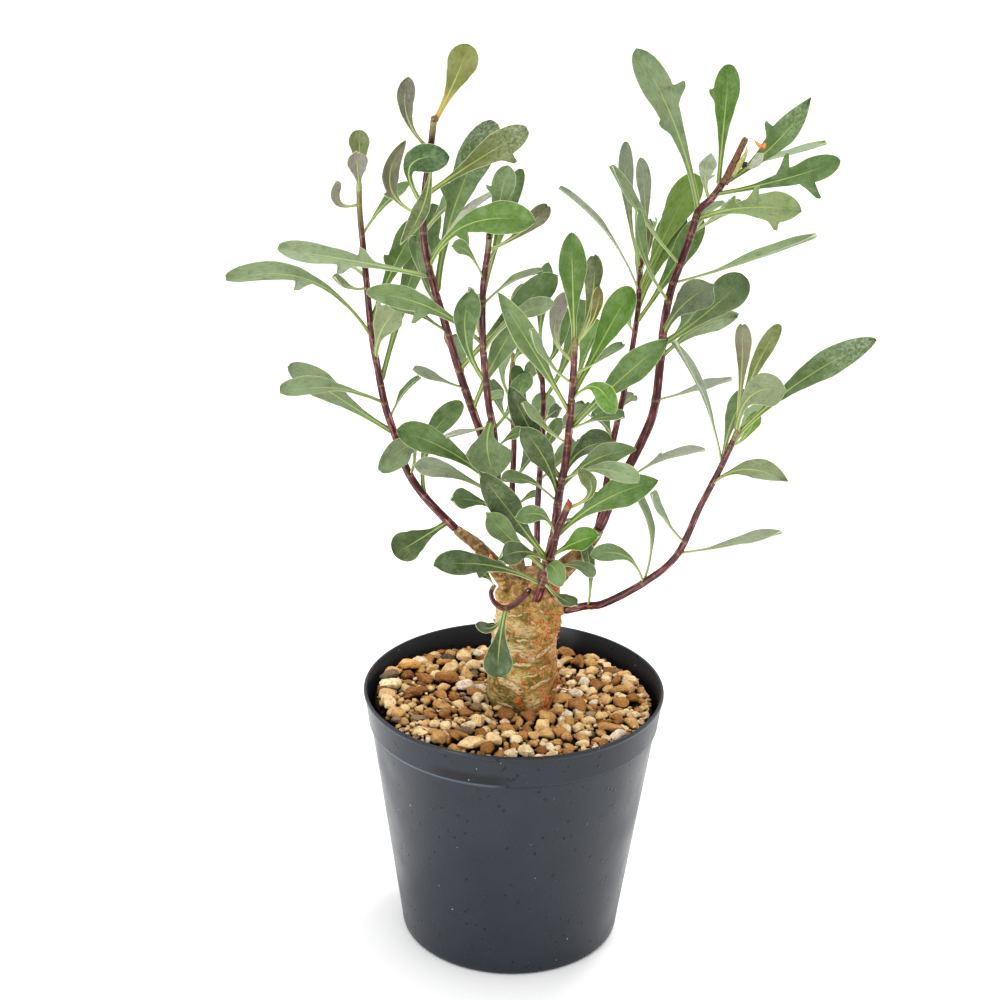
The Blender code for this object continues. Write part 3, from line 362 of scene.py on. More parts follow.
# Painted highlight: a thin bluish line along the lit edge of the collar step, at the front left.
collar_step_highlight_across = front * sweep.rise(-0.001, -0.010)
collar_step_highlight = collar_step_highlight_across * plastic.height.rise(0.0922, 0.0926) * plastic.height.rise(0.0941, 0.0934)
tub = clouds.mix((0.013, 0.016, 0.022), (0.027, 0.032, 0.042))
tub = tub.coats(
    (drop * 0.8, (0.004, 0.004, 0.006)),
    (mist * 0.5, (0.10, 0.11, 0.13)),
    (dent_shade * 0.8, (0.003, 0.003, 0.004)),
    (collar_step_highlight * 0.8, (0.11, 0.15, 0.21)),
    # painted shade: the inside wall above the floor is made nearly black
    (inside * 0.95, (0.0025, 0.0022, 0.0020)),
    (fleck, (0.55, 0.55, 0.55)),
)
# Points inside the wall and above the floor, where shade is painted and the plastic is duller
pot_inside = []
for vert in pot.data.vertices:
    height = vert.co.z / MM
    outer = FOOT_RADIUS + (BODY_TOP_RADIUS - FOOT_RADIUS) * min(height / COLLAR_FOOT, 1.0)
    middle_of_wall = outer - 0.5 * WALL + (COLLAR_STEP if height > COLLAR_FOOT else 0.0)
    within = height > FLOOR_HEIGHT and vert.co.xy.length / MM < middle_of_wall
    pot_inside.append(1.0 if within else 0.0)
keep_on_points(pot.data, "pot_inside", pot_inside)
pot.data.materials.clear()
dullness = clouds.rise(0.3, 0.7, 0.28, 0.40) - 0.12 * drop + 0.30 * inside
pot.data.materials.append(plastic.done(tub, dullness, grain * 0.3 + drop * 1.2 + mist, 0.12))
settle(pot, "pot", "pot")

# The gravel: mixed small stones, tan, ochre and brown with a few grey and off-white ones, poured loose
# into the pot up to a finger's width under the rim, a little higher at the front and round the trunk.
GRAVEL_LEVEL = 98.0
GRAVEL_RISE = 1.2
GRAVEL_TILT = 0.05
GRAVEL_BANK_LEFT = 0.07
GRAVEL_BANK_RIGHT = 0.03
GRAVEL_RADIUS = 55.4
STONE_SEED = 5
STONE_SHAPES = 16
COMMON_STONE_FACES = 64
LARGE_SHAPES = 8
STONE_LUMP = 0.34
STONE_LUMP_SCALE = 1.1
STONE_GRAIN = 0.13
STONE_GRAIN_SCALE = 2.6
STONE_CHIPS = (4, 9)
CHIP_REACH = (0.62, 0.88)
CHIP_ANGLE = math.radians(6.0)
CHIP_WEAR = 0.16
# Each size of stone: how many, and the least and greatest radius in mm
STONE_SIZES = ((420, 1.6, 2.5), (260, 1.1, 1.7), (300, 2.1, 3.1), (44, 3.0, 3.9), (380, 0.9, 1.4),
               (320, 0.6, 1.0))
LARGE_STONE = 2.9
STONE_TRIES = (4, 14)
STONE_LONG = (0.95, 1.35)
STONE_BROAD = (0.75, 1.0)
STONE_FLATTEN = (0.62, 0.9)
STONE_SINK = 0.30
STONE_TILT = 0.35
STONE_COVER = 0.86
NEARLY_A_TURN = 6.28
COMMON_TONES = 0.94
CELL = 0.8
GAP_CELLS = (-2, -1, 0, 1, 2)
GAP_DEPTH = 1.5
TRUNK_MIDDLE = (3.0, 0.0)
TRUNK_CLEAR = 13.2
# The share of a stone's radius on which it rests, and the share that stays clear of the trunk
REST_REACH = 0.7
TRUNK_REACH = 0.8
BED_RINGS = 40
BED_SIDES = 96
BED_LUMP = 0.6
BED_LUMP_SCALE = 0.45
BED_TONE_SCALE = 0.6
GRAVEL_FOOT_RADIUS = FOOT_RADIUS - WALL - 1.0
GRAVEL_FOOT = FLOOR_HEIGHT + 0.3
WELD_REACH = 0.01 * MM
STONE_EDGE = math.radians(38.0)
# The stones that stand out in the photo: picture x and y, radius in mm, tone, and shape. Their places are
# read PLACED_LIFT mm over the bed, and each sinks PLACED_SINK mm into the stones under it
PLACED_LIFT = 5.0
PLACED_SINK = 0.6
PLACED_STONES = (
    (409, 664, 3.8, 0.99, (1.35, 0.75, 1.0)),
    (531, 702, 3.0, 0.80, (1.0, 0.8, 1.35)),
    (465, 669, 2.4, 0.02, (1.5, 0.8, 0.6)),
    (629, 678, 3.6, 0.82, (1.2, 0.9, 0.8)),
    (387, 702, 3.4, 0.78, (1.4, 0.8, 0.7)),
    (456, 694, 3.0, 0.16, (1.1, 0.95, 0.9)),
    (445, 709, 3.0, 0.16, (1.2, 0.95, 0.8)),
    (472, 741, 4.0, 0.72, (1.5, 0.9, 0.75)),
    (487, 743, 3.4, 0.12, (1.3, 0.9, 0.7)),
    (437, 736, 3.6, 0.4, (1.0, 0.95, 0.9)),
    (566, 669, 2.6, 0.76, (1.1, 1.0, 0.9)),
    (567, 735, 2.8, 0.45, (0.9, 0.8, 1.25)),
    (585, 729, 2.6, 0.88, (1.4, 0.8, 0.7)),
    (479, 683, 2.6, 0.95, (1.3, 0.9, 0.8)),
    (479, 652, 2.4, 0.96, (1.1, 1.0, 0.9)),
)


def held(value):
    """A value kept between 0 and 1."""
    return min(max(value, 0.0), 1.0)


def seen(across, down, depth):
    """The real place that shows at a picture point, at a depth in metres away from the front."""
    right_px = across - VIEW_CENTRE
    up_px = VIEW_CENTRE - down
    x = math.cos(VIEW_ROLL) * right_px - math.sin(VIEW_ROLL) * up_px
    y = math.sin(VIEW_ROLL) * right_px + math.cos(VIEW_ROLL) * up_px
    ray = Vector((x / VIEW_FOCUS, 0.0, 0.0)) + UPWARD * (y / VIEW_FOCUS) + FORWARD
    return EYE + ray * ((depth - EYE.y) / ray.y)


def mesh_object(name, points, faces, material):
    """A smoothly shaded object from points and faces, at the origin."""
    mesh = bpy.data.meshes.new(name)
    mesh.from_pydata(points, [], faces)
    mesh.materials.append(material)
    mesh.shade_smooth()
    thing = bpy.data.objects.new(name, mesh)
    bpy.context.scene.collection.objects.link(thing)
    return thing


def bands(first, sides, count):
    """Faces that join rings of points, numbered from first, in so many bands of so many sides."""
    faces = []
    for band in range(count):
        here = first + band * sides
        after = here + sides
        for side in range(sides):
            beside = (side + 1) % sides
            faces.append((here + side, here + beside, after + beside, after + side))
    return faces


rng = random.Random(STONE_SEED)
stone_shapes = []
for number in range(STONE_SHAPES + LARGE_SHAPES):
    large = number >= STONE_SHAPES
    bpy.ops.object.select_all(action="DESELECT")
    bpy.ops.mesh.primitive_ico_sphere_add(subdivisions=3 if large else 2, radius=1.0)
    stone = bpy.context.object
    shift = Vector((rng.uniform(0, 50), 0.0, 0.0))
    for vert in stone.data.vertices:
        lump = STONE_LUMP * noise.noise(vert.co * STONE_LUMP_SCALE + shift)
        grain = STONE_GRAIN * noise.noise(vert.co * STONE_GRAIN_SCALE + shift)
        vert.co *= 1.0 + lump + grain
    bpy.ops.object.mode_set(mode="EDIT")
    for chip in range(rng.randrange(*STONE_CHIPS)):
        away = Vector((rng.gauss(0, 1), rng.gauss(0, 1), rng.gauss(0, 1))).normalized()
        bpy.ops.mesh.select_all(action="SELECT")
        bpy.ops.mesh.bisect(plane_co=away * rng.uniform(*CHIP_REACH), plane_no=away, clear_outer=True,
                            use_fill=True)
    bpy.ops.mesh.select_all(action="SELECT")
    bpy.ops.mesh.dissolve_limited(angle_limit=CHIP_ANGLE)
    bpy.ops.mesh.quads_convert_to_tris()
    bpy.ops.mesh.vertices_smooth(factor=CHIP_WEAR, repeat=1)
    bpy.ops.mesh.normals_make_consistent(inside=False)
    bpy.ops.object.mode_set(mode="OBJECT")
    if not large:
        fewer = stone.modifiers.new("few_faces", "DECIMATE")
        fewer.ratio = min(COMMON_STONE_FACES / len(stone.data.polygons), 1.0)
        apply_all(stone)
    stone_shapes.append(([vert.co.copy() for vert in stone.data.vertices],
                         [tuple(face.vertices) for face in stone.data.polygons]))
    bpy.data.objects.remove(stone, do_unlink=True)


def bed_level(x, y):
    """Level of the bed under the top stones, in millimetres: higher round the trunk, to the front and up
    the sides."""
    bank = max(-GRAVEL_BANK_LEFT * x, GRAVEL_BANK_RIGHT * x) - GRAVEL_TILT * y
    return GRAVEL_LEVEL + bank + GRAVEL_RISE * (1.0 - held(math.hypot(x, y) / GRAVEL_RADIUS))


grid = math.ceil(2.0 * GRAVEL_RADIUS / CELL)
surface = [[bed_level(-GRAVEL_RADIUS + CELL * column, -GRAVEL_RADIUS + CELL * row)
            for column in range(grid + 1)] for row in range(grid + 1)]


def cells_under(x, y, reach):
    """Grid cells within reach of a spot."""
    low_column = max(int((x - reach + GRAVEL_RADIUS) / CELL), 0)
    high_column = min(int((x + reach + GRAVEL_RADIUS) / CELL) + 1, grid)
    low_row = max(int((y - reach + GRAVEL_RADIUS) / CELL), 0)
    high_row = min(int((y + reach + GRAVEL_RADIUS) / CELL) + 1, grid)
    for row in range(low_row, high_row + 1):
        for column in range(low_column, high_column + 1):
            away = math.hypot(-GRAVEL_RADIUS + CELL * column - x, -GRAVEL_RADIUS + CELL * row - y)
            if away < reach:
                yield row, column, away / reach


def resting_level(x, y, radius):
    """Level at which a stone comes to rest on what lies under it."""
    levels = [surface[row][column] for row, column, _ in cells_under(x, y, max(REST_REACH * radius, CELL))]
    return sum(levels) / len(levels)


def stone_fits(x, y, radius):
    """Whether a stone lies inside the pot and clear of the trunk."""
    inside = math.hypot(x, y) < GRAVEL_RADIUS - radius
    off_trunk = math.hypot(x - TRUNK_MIDDLE[0], y - TRUNK_MIDDLE[1])
    return inside and off_trunk > TRUNK_CLEAR + TRUNK_REACH * radius


gravel_points = []
gravel_faces = []
gravel_tones = []
gravel_shades = []


def lay_stone(x, y, radius, tone, shape, level=None):
    """Lay one stone on the bed and raise the surface over it."""
    large = radius > LARGE_STONE
    kind = STONE_SHAPES + rng.randrange(LARGE_SHAPES) if large else rng.randrange(STONE_SHAPES)
    points, faces = stone_shapes[kind]
    turn = Matrix.Rotation(rng.uniform(0, 2 * math.pi), 3, "Z")
    tilt = Matrix.Rotation(rng.gauss(0, STONE_TILT), 3, "X")
    tumble = tilt @ Matrix.Rotation(rng.uniform(0, NEARLY_A_TURN), 3, "Z")
    flat = Matrix.Diagonal(Vector(shape) * radius)
    rest = resting_level(x, y, radius) if level is None else level
    middle = Vector((x, y, rest + shape[2] * radius * (1.0 - 2.0 * STONE_SINK)))
    first = len(gravel_points)
    for point in points:
        place = middle + turn @ (flat @ (tumble @ point))
        gravel_points.append(place * MM)
        gravel_tones.append(tone)
        gravel_shades.append(1.0)
    gravel_faces.extend(tuple(first + corner for corner in face) for face in faces)
    top = middle.z + shape[2] * radius * STONE_COVER
    for row, column, share in cells_under(x, y, radius):
        cover = middle.z + (top - middle.z) * math.sqrt(1.0 - share * share)
        surface[row][column] = max(surface[row][column], cover)


for count, small, large in STONE_SIZES:
    for number in range(count):
        radius = rng.uniform(small, large)
        best = None
        for attempt in range(STONE_TRIES[0] if radius > LARGE_STONE else STONE_TRIES[1]):
            angle = rng.uniform(0.0, 2.0 * math.pi)
            reach = GRAVEL_RADIUS * math.sqrt(rng.random())
            x = reach * math.cos(angle)
            y = reach * math.sin(angle)
            if stone_fits(x, y, radius):
                over = resting_level(x, y, radius) - bed_level(x, y)
                if best is None or over < best[0]:
                    best = (over, x, y)
        if best:
            shape = (rng.uniform(*STONE_LONG), rng.uniform(*STONE_BROAD), rng.uniform(*STONE_FLATTEN))
            lay_stone(best[1], best[2], radius, rng.uniform(0.0, COMMON_TONES), shape)
for across, down, radius, tone, shape in PLACED_STONES:
    ray = seen(across, down, 0.0) - EYE
    level = GRAVEL_LEVEL + PLACED_LIFT
    for attempt in range(3):
        spot = (EYE + ray * ((level * MM - EYE.z) / ray.z)) / MM
        level = bed_level(spot.x, spot.y) + PLACED_LIFT
    off_axis = math.hypot(spot.x, spot.y)
    spot *= min(1.0, (GRAVEL_RADIUS - radius) / off_axis)
    lay_stone(spot.x, spot.y, radius, tone, shape, resting_level(spot.x, spot.y, radius) - PLACED_SINK)

# Painted shade: each point of a stone darkens as it lies deeper under the mean level of the stones round it,
# and the bed and its foot under the stones are kept fully dark.
heights = np.array(surface)
around = sum(np.roll(heights, (down, across), (0, 1)) for down in GAP_CELLS for across in GAP_CELLS)
around = around / len(GAP_CELLS) ** 2
for number, place in enumerate(gravel_points):
    column = min(max(round((place.x / MM + GRAVEL_RADIUS) / CELL), 0), grid)
    row = min(max(round((place.y / MM + GRAVEL_RADIUS) / CELL), 0), grid)
    depth = around[row][column] - place.z / MM
    gravel_shades[number] = held((GAP_DEPTH - depth) / GAP_DEPTH)

bed_first = len(gravel_points)
for ring in range(BED_RINGS + 1):
    reach = GRAVEL_RADIUS * ring / BED_RINGS
    for side in range(BED_SIDES):
        angle = 2.0 * math.pi * side / BED_SIDES
        x = reach * math.cos(angle)
        y = reach * math.sin(angle)
        lift = BED_LUMP * noise.noise(Vector((x, y, 0.0)) * BED_LUMP_SCALE)
        gravel_points.append(Vector((x, y, bed_level(x, y) + lift)) * MM)
        gravel_tones.append(0.5 + 0.5 * noise.noise(Vector((x, y, 7.0)) * BED_TONE_SCALE))
        gravel_shades.append(0.0)
foot_first = len(gravel_points)
for side in range(BED_SIDES):
    angle = 2.0 * math.pi * side / BED_SIDES
    x = GRAVEL_FOOT_RADIUS * math.cos(angle)
    y = GRAVEL_FOOT_RADIUS * math.sin(angle)
    gravel_points.append(Vector((x, y, GRAVEL_FOOT)) * MM)
    gravel_tones.append(0.5)
    gravel_shades.append(0.0)
gravel_faces += bands(bed_first, BED_SIDES, BED_RINGS + 1)
gravel_faces.append(tuple(range(foot_first, foot_first + BED_SIDES)))

stone = Finish("gravel_stone", Specular_IOR_Level=0.25)
tone = stone.read("stone_tone")
shade = stone.read("stone_shade")
pits = stone.noise(0.7, 4.0, 0.7)
blotch = stone.noise(2.6, 3.0)
body = tone.ramp((0.0, (0.05, 0.045, 0.04)), (0.01, (0.24, 0.20, 0.15)), (0.035, (0.40, 0.31, 0.19)),
                 (0.055, (0.25, 0.105, 0.028)), (0.28, (0.48, 0.245, 0.076)), (0.50, (0.71, 0.44, 0.170)),
                 (0.70, (0.93, 0.68, 0.35)), (0.88, (0.98, 0.81, 0.52)), (0.96, (0.96, 0.88, 0.74)),
                 (0.99, (0.92, 0.52, 0.16)))
body = body.coats(
    (blotch.rise(0.35, 0.75) * 0.45, (0.36, 0.15, 0.045)),
    (pits.rise(0.53, 0.75) * 0.45, (0.93, 0.76, 0.52)),
    (pits.rise(0.48, 0.30) * 0.7, (0.12, 0.045, 0.014)),
    # painted shade in the gaps between stones and on the bed under them
    (shade.rise(0.22, 1.0, 1.0, 0.0), (0.012, 0.004, 0.001)),
)
gravel = mesh_object("gravel_stones", gravel_points, gravel_faces,
                     stone.done(body, pits.rise(0.2, 0.8, 0.75, 0.95), pits * 1.3 + blotch, 0.6))
keep_on_points(gravel.data, "stone_tone", gravel_tones)
keep_on_points(gravel.data, "stone_shade", gravel_shades)
weld = bmesh.new()
weld.from_mesh(gravel.data)
bmesh.ops.recalc_face_normals(weld, faces=weld.faces)
bed_middle = [vert for vert in weld.verts if vert.co.xy.length < WELD_REACH]
bmesh.ops.remove_doubles(weld, verts=bed_middle, dist=WELD_REACH)
weld.to_mesh(gravel.data)
weld.free()
gravel.data.shade_smooth()
gravel.data.set_sharp_from_angle(angle=STONE_EDGE)
settle(gravel, "gravel", "gravel")

# The trunk: a swollen stem as thick as a thumb, olive-green bark with raised tan scars round it where
# old leaves fell, low knobs, and brown woody feet from which every slender stem grows, all one growth.
Stem = namedtuple("Stem", "foot_radius base_radius tip_radius wood route")
# Each stem: radii in mm of the woody foot, the leafy stem's base and its tip, how many points of its route
# are wood, and the route as (picture x, picture y, mm away from the front)
STEMS = {
    "shoot_a": Stem(4.6, 1.7, 1.1, 3, (
        (514, 590, 0), (480, 548, -1), (456, 529, 0), (425, 497, 2), (407, 470, 4), (395, 435, 6),
        (385, 405, 8), (377, 365, 10), (371, 330, 12), (365, 265, 15), (360, 215, 17), (359, 183, 19))),
    "shoot_b": Stem(3.2, 1.8, 1.2, 3, (
        (522, 592, 2), (518, 560, 2), (511, 532, 1), (497, 480, 0), (478, 425, -3), (462, 380, -5),
        (447, 330, -7), (432, 280, -9), (424, 240, -10), (424, 200, -11), (431, 145, -12), (434, 118, -13))),
    "shoot_c": Stem(3.0, 1.6, 1.1, 3, (
        (524, 592, -5), (516, 565, -9), (509, 537, -11), (499, 495, -14), (494, 435, -17), (488, 400, -19),
        (483, 345, -22), (483, 290, -25), (488, 250, -27), (489, 235, -28))),
    "shoot_d": Stem(2.6, 1.3, 1.0, 3, (
        (527, 588, 9), (520, 565, 17), (514, 540, 21), (512, 500, 29), (514, 440, 38), (511, 385, 46),
        (514, 355, 52))),
    "shoot_e": Stem(2.6, 1.3, 1.0, 3, (
        (533, 588, 9), (536, 566, 14), (537, 545, 17), (538, 500, 21), (543, 430, 28), (543, 395, 32),
        (540, 340, 38))),
    "shoot_f": Stem(3.0, 1.8, 1.2, 3, (
        (538, 595, -2), (548, 562, -6), (554, 536, -9), (559, 495, -17), (565, 465, -21), (569, 430, -25),
        (573, 380, -31), (575, 340, -36))),
    "shoot_g": Stem(2.8, 1.8, 1.4, 2, (
        (531, 612, -7), (537, 599, -16), (541, 588, -19), (549, 560, -24), (556, 535, -28), (562, 520, -31),
        (569, 504, -33))),
    "shoot_h": Stem(3.6, 1.5, 1.0, 3, (
        (545, 592, 5), (575, 562, 12), (593, 540, 15), (602, 510, 24), (607, 480, 27), (613, 442, 32),
        (624, 392, 39), (632, 350, 45), (638, 310, 50), (639, 290, 53), (642, 256, 59))),
    "shoot_i": Stem(4.4, 2.0, 1.3, 4, (
        (545, 594, 0), (562, 568, 0), (583, 550, -1), (599, 529, -1), (615, 492, 1), (640, 445, 4),
        (654, 410, 7), (660, 365, 11), (664, 325, 13), (671, 290, 16), (681, 262, 18), (693, 228, 20),
        (699, 210, 21), (712, 198, 22), (728, 175, 24), (740, 150, 26), (745, 140, 27))),
    "shoot_j": Stem(2.8, 1.6, 1.1, 2, (
        (540, 612, -2), (565, 610, -7), (585, 606, -9), (605, 603, -16), (645, 582, -21), (677, 555, -26),
        (700, 507, -30), (722, 465, -34), (738, 430, -38))),
    "shoot_k": Stem(2.0, 1.3, 0.9, 2, (
        (531, 596, -5), (529, 591, -14), (522, 598, -17), (512, 606, -18), (503, 608, -19), (494, 602, -19),
        (491, 593, -18), (494, 586, -17))),
}
# Rings of the trunk: the height, the middle's x and y, and the radius, in mm
TRUNK_RINGS = (
    (69.5, 3.0, 0.0, 12.8),
    (101.0, 3.0, 0.0, 12.8),
    (105.0, 3.1, 0.0, 13.9),
    (114.0, 3.4, 0.0, 13.6),
    (126.0, 3.9, 0.3, 12.9),
    (138.0, 4.4, 0.4, 12.2),
    (147.0, 5.2, 0.6, 12.0),
    (153.0, 5.6, 0.8, 9.8),
    (157.0, 5.8, 1.0, 5.0),
)
TRUNK_SIDES = 48
TRUNK_STEP = 2.0
TRUNK_LUMPS = 0.035
LUMP_RISE = 0.21
LUMP_FALL = 0.13
# Each knob: picture x and y, mm away from the front, and radius in mm
KNOBS = (
    (503, 594, -5, 3.4),
    (552, 622, -4, 4.0),
    (515, 572, -6, 3.6),
    (540, 575, 3, 4.2),
    (556, 606, 4, 3.6),
)
CURVE_PARTS = 8
WOOD_STEP = 1.5
FOOT_COLLAR = 0.25
FOOT_TAPER = 0.8
WOOD_SIDES = 18
GAP = 0.3
BARK_VOXEL = 0.5
BARK_SOFTENING = 0.5
BARK_SOFTENINGS = 4
BARK_SWELL = 0.28
BARK_SWELL_SCALE = 0.55
BARK_WRINKLE = 0.16
BARK_WRINKLE_SCALE = 1.1
BARK_WRINKLE_WAY = Vector((1.0, 1.0, 2.2))
WOODY_RELIEF = 0.45
MOSTLY_WOOD = 0.9
GRAVEL_TOP = 101.0
RELIEF_OVER = 3.0
RELIEF_SPAN = (70.0, 156.9)
TRUNK_NEAR = 2.2
TRUNK_TOP = 150.0
WOOD_FROM = 141.0
WOOD_OVER = 12.0
FEET_FROM = 2.5
FEET_OVER = 3.0
# Each leaf scar: picture place of its middle, mm round the trunk, mm tall, mm proud, rise to the right
SCARS = (
    ((522, 665), 9.0, 1.3, 0.5, 0.0),
    ((545, 655), 9.5, 1.8, 0.6, 0.42),
    ((509, 686), 14.5, 3.2, 0.5, -0.32),
    ((541, 685), 11.0, 1.8, 0.5, 0.28),
    ((547, 669), 9.0, 1.1, 0.35, 0.24),
    ((523, 642), 6.5, 0.9, 0.3, 0.08),
    ((533, 625), 3.2, 0.8, 0.3, -0.9),
    ((516, 652), 6.0, 0.8, 0.25, 0.15),
    ((505, 706), 9.0, 1.3, 0.45, -0.1),
    ((540, 703), 8.0, 1.1, 0.35, 0.15),
    ((538, 614), 8.0, 0.8, 0.3, -0.25),
    ((515, 618), 7.0, 0.9, 0.3, 0.3),
    ((498, 648), 8.0, 1.0, 0.4, -0.1),
    ((552, 640), 6.0, 0.9, 0.4, 0.2),
    ((530, 676), 8.0, 0.8, 0.25, 0.1),
)
SCAR_FRONT = -13.0 * MM
SCAR_SIDE = -10.0 * MM
SCAR_LIMIT = 0.96
SCAR_SPREAD = 1.3
SCAR_REACH = 6.0
SCAR_WANDER = 0.8
SCAR_WANDER_SCALE = 6.0
SCAR_ENDS = 0.35
SCAR_SHARPNESS = 0.7
BACK_SCARS = 16
BACK_SCAR_HEIGHTS = (104.0, 148.0)
BACK_SCAR_PLACES = (0.1, math.pi - 0.1)
BACK_SCAR_HALVES = (0.2, 0.55)
BACK_SCAR_TALL = (0.7, 1.8)
BACK_SCAR_PROUD = (0.3, 0.6)
BACK_SCAR_SLOPES = (-3.0, 3.0)
SCAR_SEED = 21


def smooth_curve(knots):
    """Closely spaced places along a smooth curve through the knots, CURVE_PARTS to each span."""
    dense = []
    last = len(knots) - 1
    for number in range(last):
        before = knots[max(number - 1, 0)]
        here = knots[number]
        there = knots[number + 1]
        beyond = knots[min(number + 2, last)]
        for part in range(CURVE_PARTS):
            t = part / CURVE_PARTS
            dense.append(0.5 * (2.0 * here + (there - before) * t
                                + (2.0 * before - 5.0 * here + 4.0 * there - beyond) * t * t
                                + (3.0 * here - before - 3.0 * there + beyond) * t ** 3))
    dense.append(knots[-1])
    return dense


def evenly(places, step):
    """Evenly spaced places along a row of places, about a step apart."""
    reach = [0.0]
    for here, there in zip(places, places[1:]):
        reach.append(reach[-1] + (there - here).length)
    count = max(2, round(reach[-1] / step))
    path = []
    spot = 0
    for number in range(count + 1):
        goal = reach[-1] * number / count
        while spot < len(reach) - 2 and reach[spot + 1] < goal:
            spot += 1
        share = (goal - reach[spot]) / (reach[spot + 1] - reach[spot])
        path.append(places[spot].lerp(places[spot + 1], min(max(share, 0.0), 1.0)))
    return path


def stem_paths(stem, wood_step, leafy_step):
    """Paths of a stem's woody foot and of its leafy part."""
    curve = smooth_curve([seen(across, down, depth * MM) for across, down, depth in stem.route])
    split = (stem.wood - 1) * CURVE_PARTS
    along = (curve[split + 1] - curve[split - 1]).normalized()
    wood = evenly(curve[:split + 1], wood_step * MM)
    leafy = evenly(curve[split:], leafy_step * MM)
    leafy[0] = leafy[0] + along * GAP * MM
    return wood, leafy


def tube_parts(places, radii, sides, first=0):
    """Points and faces of a closed tube through a row of places, numbered from first."""
    points = []
    normal = Vector((0.0, -1.0, 0.0))
    for number, (place, radius) in enumerate(zip(places, radii)):
        ahead = places[min(number + 1, len(places) - 1)]
        behind = places[max(number - 1, 0)]
        along = (ahead - behind).normalized()
        normal = (normal - along * normal.dot(along)).normalized()
        across = along.cross(normal)
        for side in range(sides):
            angle = 2.0 * math.pi * side / sides
            points.append(place + (normal * math.cos(angle) + across * math.sin(angle)) * radius)
    faces = bands(first, sides, len(places) - 1)
    faces.append(tuple(range(first + sides - 1, first - 1, -1)))
    last = first + (len(places) - 1) * sides
    faces.append(tuple(range(last, last + sides)))
    return points, faces


def trunk_ring(height):
    """Middle and radius of the trunk at a height in millimetres."""
    for (low, x0, y0, r0), (high, x1, y1, r1) in zip(TRUNK_RINGS, TRUNK_RINGS[1:]):
        if height <= high:
            share = (height - low) / (high - low)
            return x0 + (x1 - x0) * share, y0 + (y1 - y0) * share, r0 + (r1 - r0) * share
    return TRUNK_RINGS[-1][1:]


bark_points = []
levels = round((TRUNK_RINGS[-1][0] - TRUNK_RINGS[0][0]) / TRUNK_STEP)
for level in range(levels + 1):
    height = TRUNK_RINGS[0][0] + (TRUNK_RINGS[-1][0] - TRUNK_RINGS[0][0]) * level / levels
    x, y, radius = trunk_ring(height)
    lumps = TRUNK_LUMPS if height > TRUNK_RINGS[1][0] else 0.0
    for side in range(TRUNK_SIDES):
        angle = 2.0 * math.pi * side / TRUNK_SIDES
        lump = lumps * math.sin(3.0 * angle + height * LUMP_RISE) * math.cos(2.0 * angle - height * LUMP_FALL)
        swell = 1.0 + lump
        bark_points.append(Vector((x + radius * swell * math.cos(angle),
                                   y + radius * swell * math.sin(angle), height)) * MM)
bark_faces = bands(0, TRUNK_SIDES, levels)
bark_faces.append(tuple(range(TRUNK_SIDES - 1, -1, -1)))
bark_faces.append(tuple(range(levels * TRUNK_SIDES, (levels + 1) * TRUNK_SIDES)))
for stem in STEMS.values():
    path, _ = stem_paths(stem, WOOD_STEP, WOOD_STEP)
    end = stem.base_radius + FOOT_COLLAR
    radii = [(stem.foot_radius + (end - stem.foot_radius) * (n / (len(path) - 1)) ** FOOT_TAPER) * MM
             for n in range(len(path))]
    points, faces = tube_parts(path, radii, WOOD_SIDES, len(bark_points))
    bark_points += points
    bark_faces += faces
for across, down, depth, radius in KNOBS:
    knob = bmesh.new()
    bmesh.ops.create_icosphere(knob, subdivisions=3, radius=radius * MM,
                               matrix=Matrix.Translation(seen(across, down, depth * MM)))
    first = len(bark_points)
    bark_points += [vert.co.copy() for vert in knob.verts]
    bark_faces += [tuple(first + vert.index for vert in face.verts) for face in knob.faces]
    knob.free()

bark = Finish("bark", Specular_IOR_Level=0.28)
scar = bark.read("bark_scar")
wood = bark.read("bark_wood")
fibre = bark.node("Mapping", inputs={"Vector": bark.place, "Scale": (1.0, 1.0, 3.2)})
cloud = bark.noise(9.0, 4.0)
fine = bark.noise(0.8, 5.0, 0.7)
belts = bark.noise(3.6, 5.0, 0.6, fibre)
wrinkle = bark.noise(2.2, 6.0, 0.62, fibre) - 0.5
crease = bark.maths("ABSOLUTE", wrinkle)
rust = bark.noise(3.8, 4.0, 0.6)
weathering = bark.noise(2.0, 4.0, 0.6)
right = bark.along("X").rise(0.000, 0.011)
# Painted shade: the lower part of the trunk, toward its left side, darkened to a dusky olive.
shaded = bark.height.rise(0.118, 0.106) * right.rise(0.75, 0.25)
# Painted highlight: cream patches round the upper middle of the trunk, where the bark shone.
painted_highlight = bark.height.rise(0.120, 0.126) * bark.height.rise(0.144, 0.134) * cloud.rise(0.42, 0.56)
torn = (wrinkle * 3.0 + fine).rise(0.30, 0.62)
skin = cloud.ramp((0.32, (0.165, 0.140, 0.012)), (0.43, (0.35, 0.255, 0.036)), (0.54, (0.68, 0.48, 0.120)),
                  (0.64, (0.96, 0.75, 0.36)))
dusky = belts.ramp((0.35, (0.095, 0.078, 0.008)), (0.65, (0.34, 0.25, 0.055)))
rusty = fine.ramp((0.35, (0.33, 0.085, 0.014)), (0.48, (0.66, 0.25, 0.060)), (0.60, (0.95, 0.64, 0.32)))
neck = weathering.ramp((0.32, (0.14, 0.060, 0.024)), (0.46, (0.42, 0.23, 0.080)),
                       (0.56, (0.72, 0.48, 0.19)), (0.66, (0.95, 0.76, 0.44)))
foot = weathering.ramp((0.32, (0.07, 0.030, 0.016)), (0.48, (0.20, 0.100, 0.045)),
                       (0.60, (0.40, 0.25, 0.13)), (0.70, (0.66, 0.48, 0.30)))
